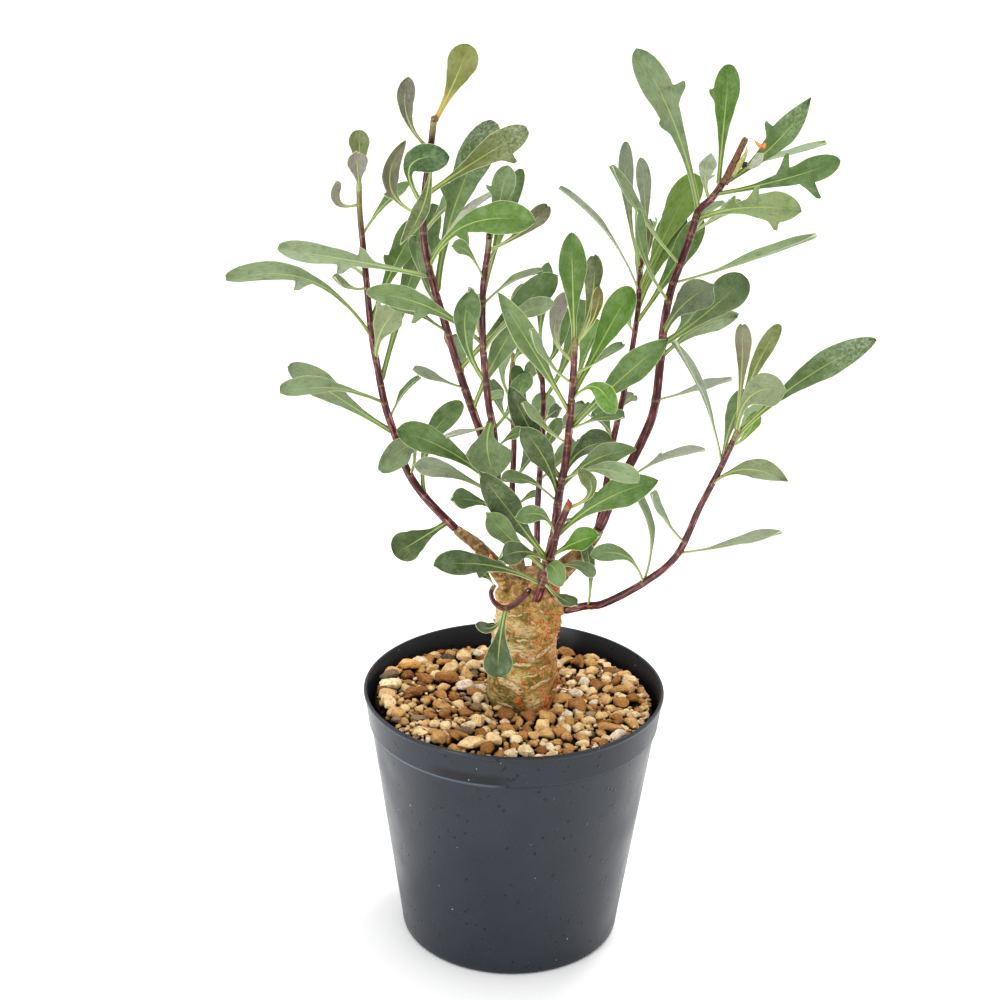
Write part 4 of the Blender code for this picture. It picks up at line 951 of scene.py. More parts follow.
skin = skin.coats(
    (shaded * 0.6, dusky),
    (painted_highlight * 0.75, (0.95, 0.80, 0.50)),
    (belts.rise(0.52, 0.64) * 0.6, (0.88, 0.69, 0.37)),
    (belts.rise(0.44, 0.30) * 0.7, (0.17, 0.120, 0.014)),
    (crease.rise(0.026, 0.006) * fine.rise(0.42, 0.62) * 0.6, (0.92, 0.76, 0.48)),
    (wrinkle.rise(0.03, 0.05) * wrinkle.rise(0.09, 0.06) * 0.75, (0.12, 0.050, 0.014)),
    ((rust + right * 0.12).rise(0.57, 0.63) * 0.8, rusty),
    (wood * 0.88, bark.height.rise(0.150, 0.162).mix(neck, foot)),
    # a rust-brown rim round each raised scar: partly the bark's own colour, partly painted shadow at the
    # scar's edge
    (scar.rise(0.05, 0.35) * scar.rise(0.75, 0.4) * 0.6, (0.26, 0.11, 0.03)),
    (scar.rise(0.3, 0.6) * torn * 0.95, (0.92, 0.75, 0.46)),
)
bark_relief = fine * 0.7 + belts * 0.8 + crease * -3.0
bark_finish = bark.done(skin, fine.rise(0.2, 0.8, 0.24, 0.56), bark_relief, 0.6)
caudex = mesh_object("caudex_bark", bark_points, bark_faces, bark_finish)
remesh = caudex.modifiers.new("one_skin", "REMESH")
remesh.mode = "VOXEL"
remesh.voxel_size = BARK_VOXEL * MM
soften = caudex.modifiers.new("soften", "SMOOTH")
soften.factor = BARK_SOFTENING
soften.iterations = BARK_SOFTENINGS
apply_all(caudex)

rng = random.Random(SCAR_SEED)
scar_rows = []
for (across, down), wide, tall, proud, slope in SCARS:
    height = seen(across, down, SCAR_FRONT).z / MM
    x, y, radius = trunk_ring(height)
    off = (seen(across, down, SCAR_SIDE).x / MM - x) / radius
    angle = -math.acos(min(max(off, -SCAR_LIMIT), SCAR_LIMIT))
    scar_rows.append((angle, height, 0.5 * wide / radius, tall, proud, slope * radius))
for number in range(BACK_SCARS):
    height = rng.uniform(*BACK_SCAR_HEIGHTS)
    scar_rows.append((rng.uniform(*BACK_SCAR_PLACES), height, rng.uniform(*BACK_SCAR_HALVES),
                      rng.uniform(*BACK_SCAR_TALL), rng.uniform(*BACK_SCAR_PROUD),
                      rng.uniform(*BACK_SCAR_SLOPES)))
scar_share = []
wood_share = []
normals = [vert.normal.copy() for vert in caudex.data.vertices]
for vert, normal in zip(caudex.data.vertices, normals):
    place = vert.co / MM
    x, y, radius = trunk_ring(min(max(place.z, RELIEF_SPAN[0]), RELIEF_SPAN[1]))
    angle = math.atan2(place.y - y, place.x - x)
    off_axis = math.hypot(place.x - x, place.y - y)
    on_trunk = 1.0 if abs(off_axis - radius) < TRUNK_NEAR and place.z < TRUNK_TOP else 0.0
    most = 0.0
    lift = 0.0
    for middle, height, half, tall, proud, slope in scar_rows:
        turn = (angle - middle + math.pi) % (2.0 * math.pi) - math.pi
        if abs(turn) > half * SCAR_SPREAD or abs(place.z - height) > SCAR_REACH:
            continue
        wander = slope * turn + SCAR_WANDER * noise.noise(Vector((turn * SCAR_WANDER_SCALE, height, 1.0)))
        rise = abs(place.z - height - wander) / (0.5 * tall)
        ends = held((half - abs(turn)) / (SCAR_ENDS * half))
        strength = ends * math.exp(-rise ** 2 * SCAR_SHARPNESS)
        if strength > most:
            most = strength
            lift = proud * strength
    most *= on_trunk
    lift *= on_trunk
    woody = held((place.z - WOOD_FROM) / WOOD_OVER)
    woody = max(woody, held((off_axis - radius - FEET_FROM) / FEET_OVER))
    swell = BARK_SWELL * noise.noise(place * BARK_SWELL_SCALE)
    wrinkles = BARK_WRINKLE * noise.noise(place * BARK_WRINKLE_WAY * BARK_WRINKLE_SCALE)
    above = held((place.z - GRAVEL_TOP) / RELIEF_OVER)
    small = WOODY_RELIEF if woody > MOSTLY_WOOD else 1.0
    vert.co += normal * (lift + (swell + wrinkles) * small) * above * MM
    scar_share.append(most)
    wood_share.append(woody)
keep_on_points(caudex.data, "bark_scar", scar_share)
keep_on_points(caudex.data, "bark_wood", wood_share)
caudex.data.shade_smooth()
settle(caudex, "caudex", "bark")

# The bud scales: small rust-red flakes that stand off the bark, most of them up the right-hand side,
# with a few pale stubs of fallen leaves on the woody feet. They are the trunk's own dry skin.
FLAKE_SEED = 8
# Each flake that shows: picture x and y, and size in mm before it is scaled by FLAKE_GROWTH
FRONT_FLAKES = (
    (517, 656, 1.6), (521, 662, 1.4), (524, 684, 1.5), (520, 690, 1.3), (518, 702, 2.0), (521, 706, 1.4),
    (546, 655, 1.6), (548, 663, 1.8), (545, 668, 1.4), (552, 645, 1.5), (556, 632, 1.6), (549, 622, 1.5),
    (538, 623, 1.2), (526, 624, 1.0), (519, 627, 1.2), (517, 633, 1.0), (544, 697, 1.5), (546, 704, 2.4),
    (549, 699, 1.6), (545, 710, 1.8), (557, 670, 1.5), (559, 660, 1.4), (556, 681, 1.7), (553, 690, 1.6),
    (558, 648, 1.2), (555, 618, 1.3), (548, 613, 1.2), (541, 640, 0.9), (501, 602, 1.4), (509, 612, 1.0),
    (548, 636, 1.5), (543, 676, 1.1), (531, 700, 0.9), (512, 673, 1.0), (560, 690, 1.5), (560, 640, 1.4),
)
FLAKE_GROWTH = 1.45
FLAKE_SIDES = 6
# Rings of a flake: how far along it, and half its width and depth there, as shares of its size
FLAKE_RINGS = ((-0.35, 0.32, 0.22), (0.1, 0.42, 0.26), (0.55, 0.28, 0.16))
FLAKE_HEEL = 0.5
FLAKE_SWAY = 0.5
FLAKE_UPRIGHT = (0.4, 1.0)
FLAKE_STAND = (0.45, 0.9)
BACK_FLAKES = 60
BACK_FLAKE_HEIGHTS = (103.0, 150.0)
BACK_FLAKE_PLACES = (-0.4, math.pi + 0.3)
BACK_FLAKE_SIZES = (0.8, 1.9)
BARK_AXIS = 3.5 * MM
CLEAR_OF_BARK = 40 * MM
# Each stub: picture x and y, and size in mm
STUBS = ((475, 551, 1.5), (490, 557, 1.4), (553, 525, 1.0), (529, 552, 1.3), (497, 566, 1.2))
STUB_TONE = 1.4

skin_tree = BVHTree.FromObject(caudex, bpy.context.evaluated_depsgraph_get())
rng = random.Random(FLAKE_SEED)
flake_points = []
flake_faces = []
flake_tones = []


def add_flake(place, outward, size, tone):
    """One small pointed scale that stands off the bark."""
    up = Vector((rng.gauss(0, FLAKE_SWAY), rng.gauss(0, FLAKE_SWAY), 1.0)).normalized()
    across = outward.cross(up).normalized()
    along = (up * rng.uniform(*FLAKE_UPRIGHT) + outward * rng.uniform(*FLAKE_STAND)).normalized()
    thick = along.cross(across).normalized()
    first = len(flake_points)
    for far, wide, deep in FLAKE_RINGS:
        for side in range(FLAKE_SIDES):
            angle = 2.0 * math.pi * side / FLAKE_SIDES
            flake_points.append(place + (along * far + across * (wide * math.cos(angle))
                                         + thick * (deep * math.sin(angle))) * size * MM)
    heel = len(flake_points)
    flake_points.append(place - along * FLAKE_HEEL * size * MM)
    flake_points.append(place + along * size * MM)
    flake_faces.extend(bands(first, FLAKE_SIDES, len(FLAKE_RINGS) - 1))
    for side in range(FLAKE_SIDES):
        beside = (side + 1) % FLAKE_SIDES
        flake_faces.append((heel, first + beside, first + side))
        flake_faces.append((heel + 1, heel - FLAKE_SIDES + side, heel - FLAKE_SIDES + beside))
    flake_tones.extend([tone] * (len(flake_points) - first))


def bark_met(start, toward):
    """Where a line from one place toward another meets the bark, and which way the bark faces there."""
    return skin_tree.ray_cast(start, (toward - start).normalized())[:2]


for across, down, size in FRONT_FLAKES:
    place, normal = bark_met(EYE, seen(across, down, 0.0))
    if place:
        add_flake(place, normal, FLAKE_GROWTH * size, rng.random())
for number in range(BACK_FLAKES):
    height = rng.uniform(*BACK_FLAKE_HEIGHTS) * MM
    angle = rng.uniform(*BACK_FLAKE_PLACES)
    outer = Vector((BARK_AXIS + CLEAR_OF_BARK * math.cos(angle), CLEAR_OF_BARK * math.sin(angle), height))
    place, normal = bark_met(outer, Vector((BARK_AXIS, 0.0, height)))
    if place:
        add_flake(place, normal, rng.uniform(*BACK_FLAKE_SIZES), rng.random())
for across, down, size in STUBS:
    place, normal = bark_met(EYE, seen(across, down, 0.0))
    if place:
        add_flake(place, normal, size, STUB_TONE)

scale_skin = Finish("bud_scales", Specular_IOR_Level=0.3)
mottle = scale_skin.noise(0.6, 3.0)
hue = scale_skin.read("flake_tone")
red = hue.ramp((0.0, (0.40, 0.055, 0.012)), (0.45, (0.60, 0.13, 0.030)), (0.8, (0.70, 0.25, 0.07)),
               (1.0, (0.80, 0.45, 0.20)))
scale_colour = (mottle.rise(0.4, 0.7) * 0.5).mix(red, (0.70, 0.36, 0.15))
scale_finish = scale_skin.done(scale_colour, mottle.rise(0.2, 0.8, 0.5, 0.75), mottle, 0.1)
flakes = mesh_object("bud_scales", flake_points, flake_faces, scale_finish)
keep_on_points(flakes.data, "flake_tone", flake_tones)
settle(flakes, "caudex", "bark")

# The leafy stems: slim maroon twigs no thicker than a pencil lead, ringed with pale leaf scars, greener
# toward their growing tips. Each grows out of its woody foot on the trunk.
STEM_SIDES = 12
STEM_STEP = 15.0
STEM_FINE_STEP = 0.9
FIRST_NODE = (1.0, 3.0)
NODE_SPACING = (6.0, 20.0)
NODE_CLEAR_OF_TIP = 2.0
NODE_MARK = (0.0, 0.35)
LEAF_NODE_MARK = 0.6
NODE_WIDTH = 0.38
NODE_SWELL = 0.12
STEM_WOBBLE = 0.05
STEM_WOBBLE_SCALE = 0.35
# The rounded end of a stem: how far past its last ring, and how wide, as shares of that ring's radius
STEM_END = ((0.5, 0.75), (0.8, 0.3))
GREEN_TIP = 0.05
GREEN_FADE = 0.6
GREEN_TIPS = {"shoot_a": 0.16, "shoot_f": 0.07, "shoot_d": 0.2, "shoot_e": 0.1, "shoot_h": 0.02}
STEM_SEED = 3
LOWEST_LEAF = 2.6
WIDEST = 0.78
# Each leaf: picture places of the root, the middle and the tip, mm that the tip comes forward, mm of
# width, degrees turned from facing the front, lobes as (share of the length, side, mm), its colour, how
# pointed its end is, the share of its length at which it is widest, and how much greyer its end grows
Leaf = namedtuple("Leaf", "root mid tip toward wide turn lobes tone point widest worn",
                  defaults=(0, (), "green", 0.0, WIDEST, 0.0))
LEAVES = {
    "shoot_a": (
        Leaf((360, 190), (360, 158), (358, 130), -6, 8, tone="olive"),
        Leaf((359, 195), (358, 174), (356, 151), 9, 8, 15, tone="lilac"),
        Leaf((359, 205), (339, 204), (336, 180), 8, 6.5, 30, tone="lilac"),
        Leaf((364, 237), (380, 210), (410, 184), -12, 6, 30),
        Leaf((365, 275), (345, 263), (311, 260), -14, 9, 50, tone="soft"),
        Leaf((367, 290), (350, 288), (332, 277), 14, 6, 50, tone="pale"),
        Leaf((373, 338), (306, 280), (226, 281), 8, 9.5, 42, ((0.57, -1, 4.5),), tone="soft"),
        Leaf((376, 358), (382, 330), (400, 306), 14, 11, 15, ((0.84, -1, 1.5),), tone="pale"),
        Leaf((381, 385), (404, 300), (436, 204), -30, 11, 0, ((0.8, 1, 1.5),), tone="mid"),
        Leaf((371, 325), (391, 273), (422, 218), -16, 10.5, 10, ((0.55, -1, 1.8),)),
        Leaf((391, 436), (335, 396), (288, 366), -12, 12, 20, tone="soft", widest=0.72),
        Leaf((385, 405), (335, 389), (280, 394), 14, 10.5, 48, tone="soft"),
        Leaf((391, 421), (402, 396), (421, 378), -14, 7, 70),
        Leaf((409, 474), (410, 446), (378, 470), 16, 12, 0, tone="soft"),
        Leaf((425, 497), (426, 450), (463, 403), -20, 9, 10),
        Leaf((452, 527), (427, 535), (394, 555), 12, 12.5, 10, tone="deep"),
    ),
    "shoot_b": (
        Leaf((428, 275), (355, 262), (277, 250), 8, 10, 30, ((0.45, 1, 3.4), (0.58, -1, 3.6)), tone="soft"),
        Leaf((446, 335), (425, 318), (386, 304), 6, 8, 50, tone="mid"),
        Leaf((428, 265), (468, 225), (536, 222), 34, 12, 20, ((0.47, 1, 4.4),), tone="bright"),
        Leaf((430, 262), (466, 215), (498, 192), -12, 8, 70, tone="frost"),
        Leaf((436, 298), (455, 206), (496, 122), -18, 13, 0, ((0.56, -1, 3.0),), tone="mid", worn=1.0),
        Leaf((425, 195), (470, 165), (528, 130), -12, 10.5, 10, ((0.75, 1, 2.8),), tone="olive",
             widest=0.72, worn=0.8),
        Leaf((434, 120), (452, 87), (469, 44), -4, 11, 0, tone="yellow"),
        Leaf((430, 150), (408, 120), (408, 76), 4, 7, 15, tone="purple"),
        Leaf((424, 205), (412, 164), (450, 157), 2, 11, 20, tone="vivid"),
        Leaf((424, 215), (392, 192), (406, 140), -6, 6.5, 20, ((0.42, -1, 1.4),), tone="taupe", point=0.4,
             widest=0.62),
        Leaf((431, 150), (424, 205), (400, 246), 22, 6.5, 20, tone="moss", point=0.8, widest=0.6),
        Leaf((464, 388), (440, 380), (412, 370), 14, 6, 50, tone="silver"),
        Leaf((460, 372), (505, 322), (558, 275), 14, 11, 10),
        Leaf((474, 412), (494, 362), (522, 315), 20, 10, 10, tone="mid"),
        Leaf((428, 230), (446, 208), (466, 196), -30, 10, 50),
        Leaf((440, 310), (420, 272), (416, 240), -36, 11, 50),
        Leaf((470, 400), (456, 362), (450, 336), -34, 11, 50),
    ),
    "shoot_c": (
        Leaf((482, 344), (430, 308), (366, 293), 8, 9, 20, ((0.58, -1, 4.4),), tone="mid", widest=0.72),
        Leaf((485, 385), (466, 340), (471, 288), 8, 10, 10),
        Leaf((483, 300), (498, 240), (523, 169), -12, 7, 20),
        Leaf((488, 252), (499, 205), (508, 165), -2, 8.5, 10, ((0.7, -1, 2.0),), tone="mid"),
        Leaf((488, 250), (522, 232), (548, 206), -14, 7, 20, tone="brown"),
        Leaf((485, 278), (465, 250), (451, 246), 16, 5.5, 30, tone="mid"),
        Leaf((483, 305), (508, 284), (543, 272), -10, 7, 65, tone="soft"),
        Leaf((484, 352), (515, 318), (555, 305), -14, 8, 45, tone="soft"),
        Leaf((490, 418), (490, 402), (504, 394), -8, 5, 30, tone="mid"),
        Leaf((489, 420), (487, 447), (496, 478), 16, 18, 10, tone="mid", point=0.3, widest=0.62),
        Leaf((497, 490), (445, 449), (396, 430), 8, 11, 10),
        Leaf((499, 497), (446, 471), (413, 465), 16, 7.5, 15, tone="silver"),
        Leaf((502, 510), (470, 500), (450, 500), 24, 8, 20),
        Leaf((492, 425), (468, 432), (446, 438), 8, 6, 70, tone="frost"),
        Leaf((495, 450), (511, 437), (524, 431), 12, 5, 40),
        Leaf((486, 265), (512, 212), (516, 182), -32, 9, 50, tone="olive"),
        Leaf((484, 345), (474, 312), (474, 294), -38, 10, 50, tone="silver"),
        Leaf((492, 430), (518, 397), (528, 374), -12, 10, 50),
    ),
    "shoot_d": (
        Leaf((514, 362), (519, 352), (524, 346), 6, 4, 20),
        Leaf((511, 392), (527, 378), (536, 360), 8, 6, 20, tone="soft"),
        Leaf((512, 508), (528, 498), (541, 492), -4, 5, 50),
        Leaf((513, 360), (510, 338), (517, 306), -8, 9, 10, tone="mid"),
        Leaf((511, 400), (500, 365), (506, 335), -30, 10, 45, tone="soft"),
        Leaf((514, 440), (535, 418), (548, 395), -24, 10, 20),
        Leaf((514, 425), (496, 402), (490, 380), -28, 10, 50),
        Leaf((512, 480), (528, 462), (540, 440), -34, 10, 50, tone="deep"),
        Leaf((512, 500), (494, 472), (488, 446), -34, 10, 50, tone="mid"),
    ),
    "shoot_e": (
        Leaf((543, 425), (552, 414), (562, 408), 10, 6, 30, tone="dark"),
        Leaf((542, 470), (550, 440), (562, 418), 8, 6, 20),
        Leaf((541, 348), (541, 322), (549, 262), 2, 7, 15, tone="mid"),
        Leaf((542, 365), (556, 350), (560, 300), -10, 8, 10),
        Leaf((543, 400), (570, 350), (584, 300), -18, 9, 10, tone="mid"),
        Leaf((542, 360), (520, 320), (528, 285), -16, 9, 10, tone="pale"),
        Leaf((543, 385), (532, 354), (526, 336), -28, 9, 50),
        Leaf((542, 440), (568, 424), (586, 404), -26, 10, 50),
        Leaf((540, 480), (560, 462), (576, 442), -32, 10, 50),
        Leaf((543, 420), (520, 395), (515, 365), -24, 9, 50),
    ),
    "shoot_f": (
        Leaf((574, 350), (573, 300), (571, 232), -6, 10.5, 10, tone="bright", point=0.3, widest=0.7),
        Leaf((575, 345), (592, 322), (600, 286), 4, 4.8, 20, tone="bronze"),
        Leaf((573, 395), (600, 345), (632, 287), -8, 11, 10, tone="bright"),
        Leaf((574, 362), (556, 340), (566, 292), -10, 6, 20, tone="lilac"),
        Leaf((571, 412), (533, 350), (497, 292), 6, 9, 10, tone="mid", point=0.5, widest=0.62),
        Leaf((573, 385), (548, 362), (529, 330), 14, 7, 60, tone="soft"),
        Leaf((574, 375), (600, 360), (624, 345), -14, 7, 60, tone="mid"),
        Leaf((569, 430), (620, 380), (669, 339), 4, 11, 10, tone="green", point=0.6, widest=0.68),
        Leaf((572, 401), (597, 388), (615, 414), 18, 8, 20, tone="bright"),
        Leaf((569, 432), (600, 419), (625, 418), 14, 7, 60),
        Leaf((567, 445), (545, 428), (521, 403), 6, 5.5, 40, tone="soft"),
        Leaf((563, 478), (583, 450), (610, 444), -10, 12, 20, tone="deep"),
        Leaf((562, 487), (597, 459), (637, 450), 8, 9, 20, tone="mid", point=0.7, widest=0.66),
        Leaf((561, 480), (600, 470), (639, 483), 20, 9, 45, tone="soft"),
        Leaf((558, 500), (544, 458), (520, 427), 16, 10, 0, tone="deep", widest=0.64),
        Leaf((562, 480), (528, 425), (509, 386), 2, 9.5, 0, tone="deep", point=0.4, widest=0.64),
        Leaf((558, 503), (528, 482), (501, 481), 22, 7, 60, tone="mid"),
        Leaf((575, 348), (592, 300), (594, 256), -26, 7.5, 20, tone="moss"),
        Leaf((572, 395), (588, 350), (602, 322), -36, 10, 50, tone="bright"),
    ),
    "shoot_g": (
        Leaf((556, 537), (610, 497), (659, 480), 10, 12, 0, tone="bright", point=0.65, widest=0.7),
        Leaf((551, 556), (580, 541), (602, 535), 14, 9, 20, tone="bright", point=0.4, widest=0.66),
        Leaf((556, 536), (538, 514), (514, 518), 16, 7, 10, tone="mid"),
        Leaf((567, 510), (592, 490), (580, 467), -8, 7, 20, tone="moss"),
        Leaf((563, 520), (587, 512), (599, 495), -18, 8, 20, tone="moss"),
        Leaf((548, 562), (510, 512), (478, 470), 16, 11.5, 0, tone="deep", point=0.3, widest=0.62),
        Leaf((546, 570), (510, 538), (486, 512), 24, 9, 0, tone="mid"),
        Leaf((543, 583), (484, 565), (433, 566), 26, 10, 20, ((0.62, -1, 2.0),), tone="deep"),
        Leaf((545, 578), (552, 566), (563, 586), 16, 8, 20, tone="mid"),
        Leaf((544, 580), (560, 598), (578, 606), 14, 6, 30, tone="deep"),
        Leaf((546, 572), (578, 566), (594, 577), 4, 6, 40, tone="soft"),
        Leaf((549, 560), (520, 552), (498, 560), 34, 9, 30, tone="deep"),
    ),
    "shoot_h": (
        Leaf((642, 260), (645, 210), (640, 157), 4, 6.2, 20, tone="silver"),
        Leaf((640, 270), (627, 200), (625, 141), -6, 6.5, 20, tone="silver"),
        Leaf((639, 290), (603, 228), (558, 188), 0, 6.5, 70, tone="silver", point=0.3),
        Leaf((638, 308), (657, 262), (682, 211), -10, 12, 10, tone="fresh"),
        Leaf((638, 322), (672, 270), (703, 218), 6, 10, 20, tone="bright"),
        Leaf((640, 292), (670, 225), (697, 174), -12, 12.5, 10, tone="fresh"),
        Leaf((641, 275), (649, 248), (651, 218), 10, 4, 20, tone="brown"),
        Leaf((619, 425), (607, 408), (592, 405), 10, 8, 10, tone="bright"),
        Leaf((620, 410), (626, 402), (634, 396), -4, 6, 20, tone="soft"),
        Leaf((636, 335), (626, 318), (622, 300), -38, 9, 50, tone="bright"),
        Leaf((614, 440), (604, 425), (590, 416), -38, 10, 50, tone="deep"),
        Leaf((640, 300), (642, 255), (656, 222), -34, 10, 50, tone="mid"),
    ),
    "shoot_i": (
        Leaf((698, 212), (679, 136), (636, 48), 0, 11.5, 0, ((0.7, 1, 4.2), (0.56, -1, 1.4)), tone="soft"),
        Leaf((720, 190), (724, 125), (730, 64), -8, 10, 10, ((0.76, -1, 1.4),), tone="bright"),
        Leaf((712, 199), (705, 178), (711, 152), 10, 7, 10, ((0.5, 1, 1.8),), tone="silver", point=0.7),
        Leaf((722, 187), (771, 148), (812, 98), -14, 10, 10, ((0.6, -1, 3.2),), point=1.0, widest=0.64,
             worn=0.7),
        Leaf((733, 170), (775, 158), (827, 144), -24, 8, 70, tone="soft", point=0.8),
        Leaf((735, 162), (752, 166), (764, 153), 8, 5.5, 30, tone="frost", point=0.5),
        Leaf((714, 197), (775, 182), (841, 161), 10, 10, 25, ((0.58, -1, 5.5), (0.74, 1, 6.0))),
        Leaf((696, 220), (745, 208), (802, 212), 20, 12, 15,
             ((0.36, -1, 3.0), (0.58, -1, 3.2), (0.8, 1, 2.4)), tone="lime", point=0.35),
        Leaf((693, 232), (716, 218), (742, 202), -16, 6, 30, tone="soft"),
        Leaf((679, 266), (645, 222), (609, 166), 14, 7.5, 50, tone="soft", point=0.3),
        Leaf((669, 300), (643, 255), (636, 209), 24, 7.5, 50),
        Leaf((663, 333), (684, 304), (714, 284), 22, 13, 0, tone="grey"),
        Leaf((663, 345), (710, 310), (745, 276), -6, 13.5, 10, tone="mid"),
        Leaf((674, 282), (745, 262), (818, 237), 4, 9, 66, tone="soft", point=1.0, widest=0.64),
        Leaf((661, 360), (700, 328), (737, 317), -22, 9, 10, tone="soft", point=0.8, widest=0.66),
        Leaf((656, 400), (695, 390), (733, 380), 6, 8, 70, tone="frost", point=0.8, widest=0.62),
        Leaf((618, 488), (668, 458), (706, 451), 10, 7, 66, ((0.5, -1, 2.0),), tone="frost", point=0.7,
             widest=0.7),
        Leaf((613, 496), (622, 480), (620, 466), 8, 5.5, 20, tone="mid"),
        Leaf((690, 235), (706, 214), (726, 204), -38, 10, 50),
        Leaf((662, 345), (688, 322), (700, 300), -34, 11, 50),
    ),
    "shoot_j": (
        Leaf((588, 606), (590, 570), (583, 537), -8, 5.5, 20, tone="deep"),
        Leaf((645, 582), (622, 555), (590, 555), 12, 7, 30, tone="mid"),
        Leaf((644, 583), (651, 545), (634, 492), -8, 8, 66, tone="soft"),
        Leaf((684, 543), (664, 518), (650, 493), 10, 8, 66, tone="soft"),
        Leaf((677, 555), (730, 545), (783, 533), 12, 8.5, 60, tone="silver", point=0.9, widest=0.7),
        Leaf((712, 484), (745, 470), (788, 483), 16, 9, 30, tone="pale", point=0.85, widest=0.66),
        Leaf((722, 465), (702, 395), (671, 342), -8, 8, 70, tone="silver", point=0.5, widest=0.66),
        Leaf((722, 466), (729, 432), (748, 390), -4, 8, 20, tone="mid"),
        Leaf((737, 432), (757, 392), (787, 391), 20, 12.5, 10, tone="pale"),
        Leaf((732, 445), (746, 436), (757, 412), -14, 6, 20, tone="fresh"),
        Leaf((735, 438), (803, 380), (877, 340), 6, 10.5, 15, tone="green", point=0.4, widest=0.7, worn=0.7),
        Leaf((738, 430), (742, 360), (742, 325), -16, 6.5, 15, tone="taupe"),
        Leaf((738, 432), (754, 373), (781, 325), -10, 6.5, 15, tone="olive"),
        Leaf((730, 450), (748, 425), (768, 404), -34, 10, 50, tone="soft"),
    ),
    "shoot_k": (
        Leaf((503, 608), (500, 640), (498, 677), 10, 11.5, 0, tone="deep"),
        Leaf((506, 608), (492, 628), (475, 624), 6, 5, 20, tone="dark"),
        Leaf((493, 590), (486, 576), (478, 572), 2, 4, 30, tone="deep"),
    ),
}


def picture_place(place):
    """Picture point at which a real place shows."""
    away = place - EYE
    x = VIEW_FOCUS * away.x / away.dot(FORWARD)
    y = VIEW_FOCUS * away.dot(UPWARD) / away.dot(FORWARD)
    across = VIEW_CENTRE + math.cos(VIEW_ROLL) * x + math.sin(VIEW_ROLL) * y
    down = VIEW_CENTRE - (-math.sin(VIEW_ROLL) * x + math.cos(VIEW_ROLL) * y)
    return Vector((across, down))


def nearest_on(path, spot):
    """The place on a stem's path that shows nearest to a picture point."""
    best = path[0]
    least = math.inf
    for here, there in zip(path, path[1:]):
        for part in range(CURVE_PARTS):
            place = here.lerp(there, part / CURVE_PARTS)
            if (place - path[0]).length < LOWEST_LEAF * MM:
                continue
            off = (picture_place(place) - Vector(spot)).length
            if off < least:
                least = off
                best = place
    return best


twig = Finish("stem_skin", Specular_IOR_Level=0.5)
ring = twig.read("stem_ring")
green = twig.read("stem_green")
skin_place = twig.node("CombineXYZ", inputs={0: twig.read("stem_front") * 1.6 * MM,
                                             1: twig.read("stem_side") * 1.6 * MM,
                                             2: twig.read("stem_way") * 0.11 * MM})
streaks = twig.noise(0.8, 4.0, 0.6, skin_place)
clouding = twig.noise(6.0, 2.0)
dust = twig.noise(0.5, 2.0)
# The pale pink top of this ramp is partly pale streaks in the skin and partly painted highlight along the
# glossy stems.
stem_colour = streaks.ramp((0.30, (0.024, 0.003, 0.005)), (0.48, (0.074, 0.009, 0.013)),
                           (0.58, (0.16, 0.032, 0.036)), (0.66, (0.52, 0.27, 0.24)))
tip_colour = streaks.ramp((0.3, (0.13, 0.11, 0.03)), (0.7, (0.26, 0.24, 0.08)))
stem_colour = stem_colour.coats(
    (clouding.rise(0.4, 0.7) * 0.4, (0.062, 0.022, 0.018)),
    (green * 0.9, tip_colour),
    (ring * dust.rise(0.35, 0.6, 0.0, 0.8), (0.42, 0.30, 0.16)),
)
stem_finish = twig.done(stem_colour, streaks.rise(0.2, 0.8, 0.20, 0.40), streaks + ring, 0.15)

stem_routes = {}
rng = random.Random(STEM_SEED)
for name, stem in STEMS.items():
    _, coarse = stem_paths(stem, WOOD_STEP, STEM_STEP)
    _, path = stem_paths(stem, WOOD_STEP, STEM_FINE_STEP)
    stem_routes[name] = coarse
    roots = [nearest_on(coarse, leaf.root) for leaf in LEAVES[name]]
    spacing = [(there - here).length / MM for here, there in zip(path, path[1:])]
    length = sum(spacing)
    nodes = []
    at = rng.uniform(*FIRST_NODE)
    while at < length - NODE_CLEAR_OF_TIP:
        nodes.append((at, rng.uniform(*NODE_MARK)))
        at += rng.uniform(*NODE_SPACING)
    for root in roots:
        nearest = min(range(len(path)), key=lambda n: (path[n] - root).length)
        nodes.append((length * nearest / (len(path) - 1), LEAF_NODE_MARK))
    span = len(path) - 1
    tip_share = GREEN_TIPS.get(name, GREEN_TIP)
    radii = []
    rings = []
    greens = []
    for number in range(span + 1):
        at = length * number / span
        closeness = max(strength * math.exp(-((at - spot) / NODE_WIDTH) ** 2) for spot, strength in nodes)
        plain = stem.base_radius + (stem.tip_radius - stem.base_radius) * number / span
        wobble = 1.0 + STEM_WOBBLE * noise.noise(Vector((at * STEM_WOBBLE_SCALE, ord(name[-1]), 0.0)))
        radii.append(plain * wobble * (1.0 + NODE_SWELL * closeness) * MM)
        greens.append(held((number / span - 1.0 + tip_share) / (GREEN_FADE * tip_share)))
        rings.append(closeness)
    along = (path[-1] - path[-2]).normalized()
    path = path + [path[-1] + along * far * radii[-1] for far, wide in STEM_END]
    radii = radii + [radii[-1] * wide for far, wide in STEM_END]
    rings += rings[-1:] * len(STEM_END)
    greens += greens[-1:] * len(STEM_END)
    points, faces = tube_parts(path, radii, STEM_SIDES)
    thing = mesh_object(name + "_stem", points, faces, stem_finish)
    turns = [2.0 * math.pi * side / STEM_SIDES for side in range(STEM_SIDES)]
    ways = [length * number / span for number in range(len(rings))]
    for key, values in (("stem_ring", rings), ("stem_green", greens), ("stem_way", ways)):
        keep_on_points(thing.data, key, [value for value in values for turn in turns])
    keep_on_points(thing.data, "stem_front", [math.cos(turn) for turn in turns] * len(rings))
    keep_on_points(thing.data, "stem_side", [math.sin(turn) for turn in turns] * len(rings))
    settle(thing, name, "leafy_stem")

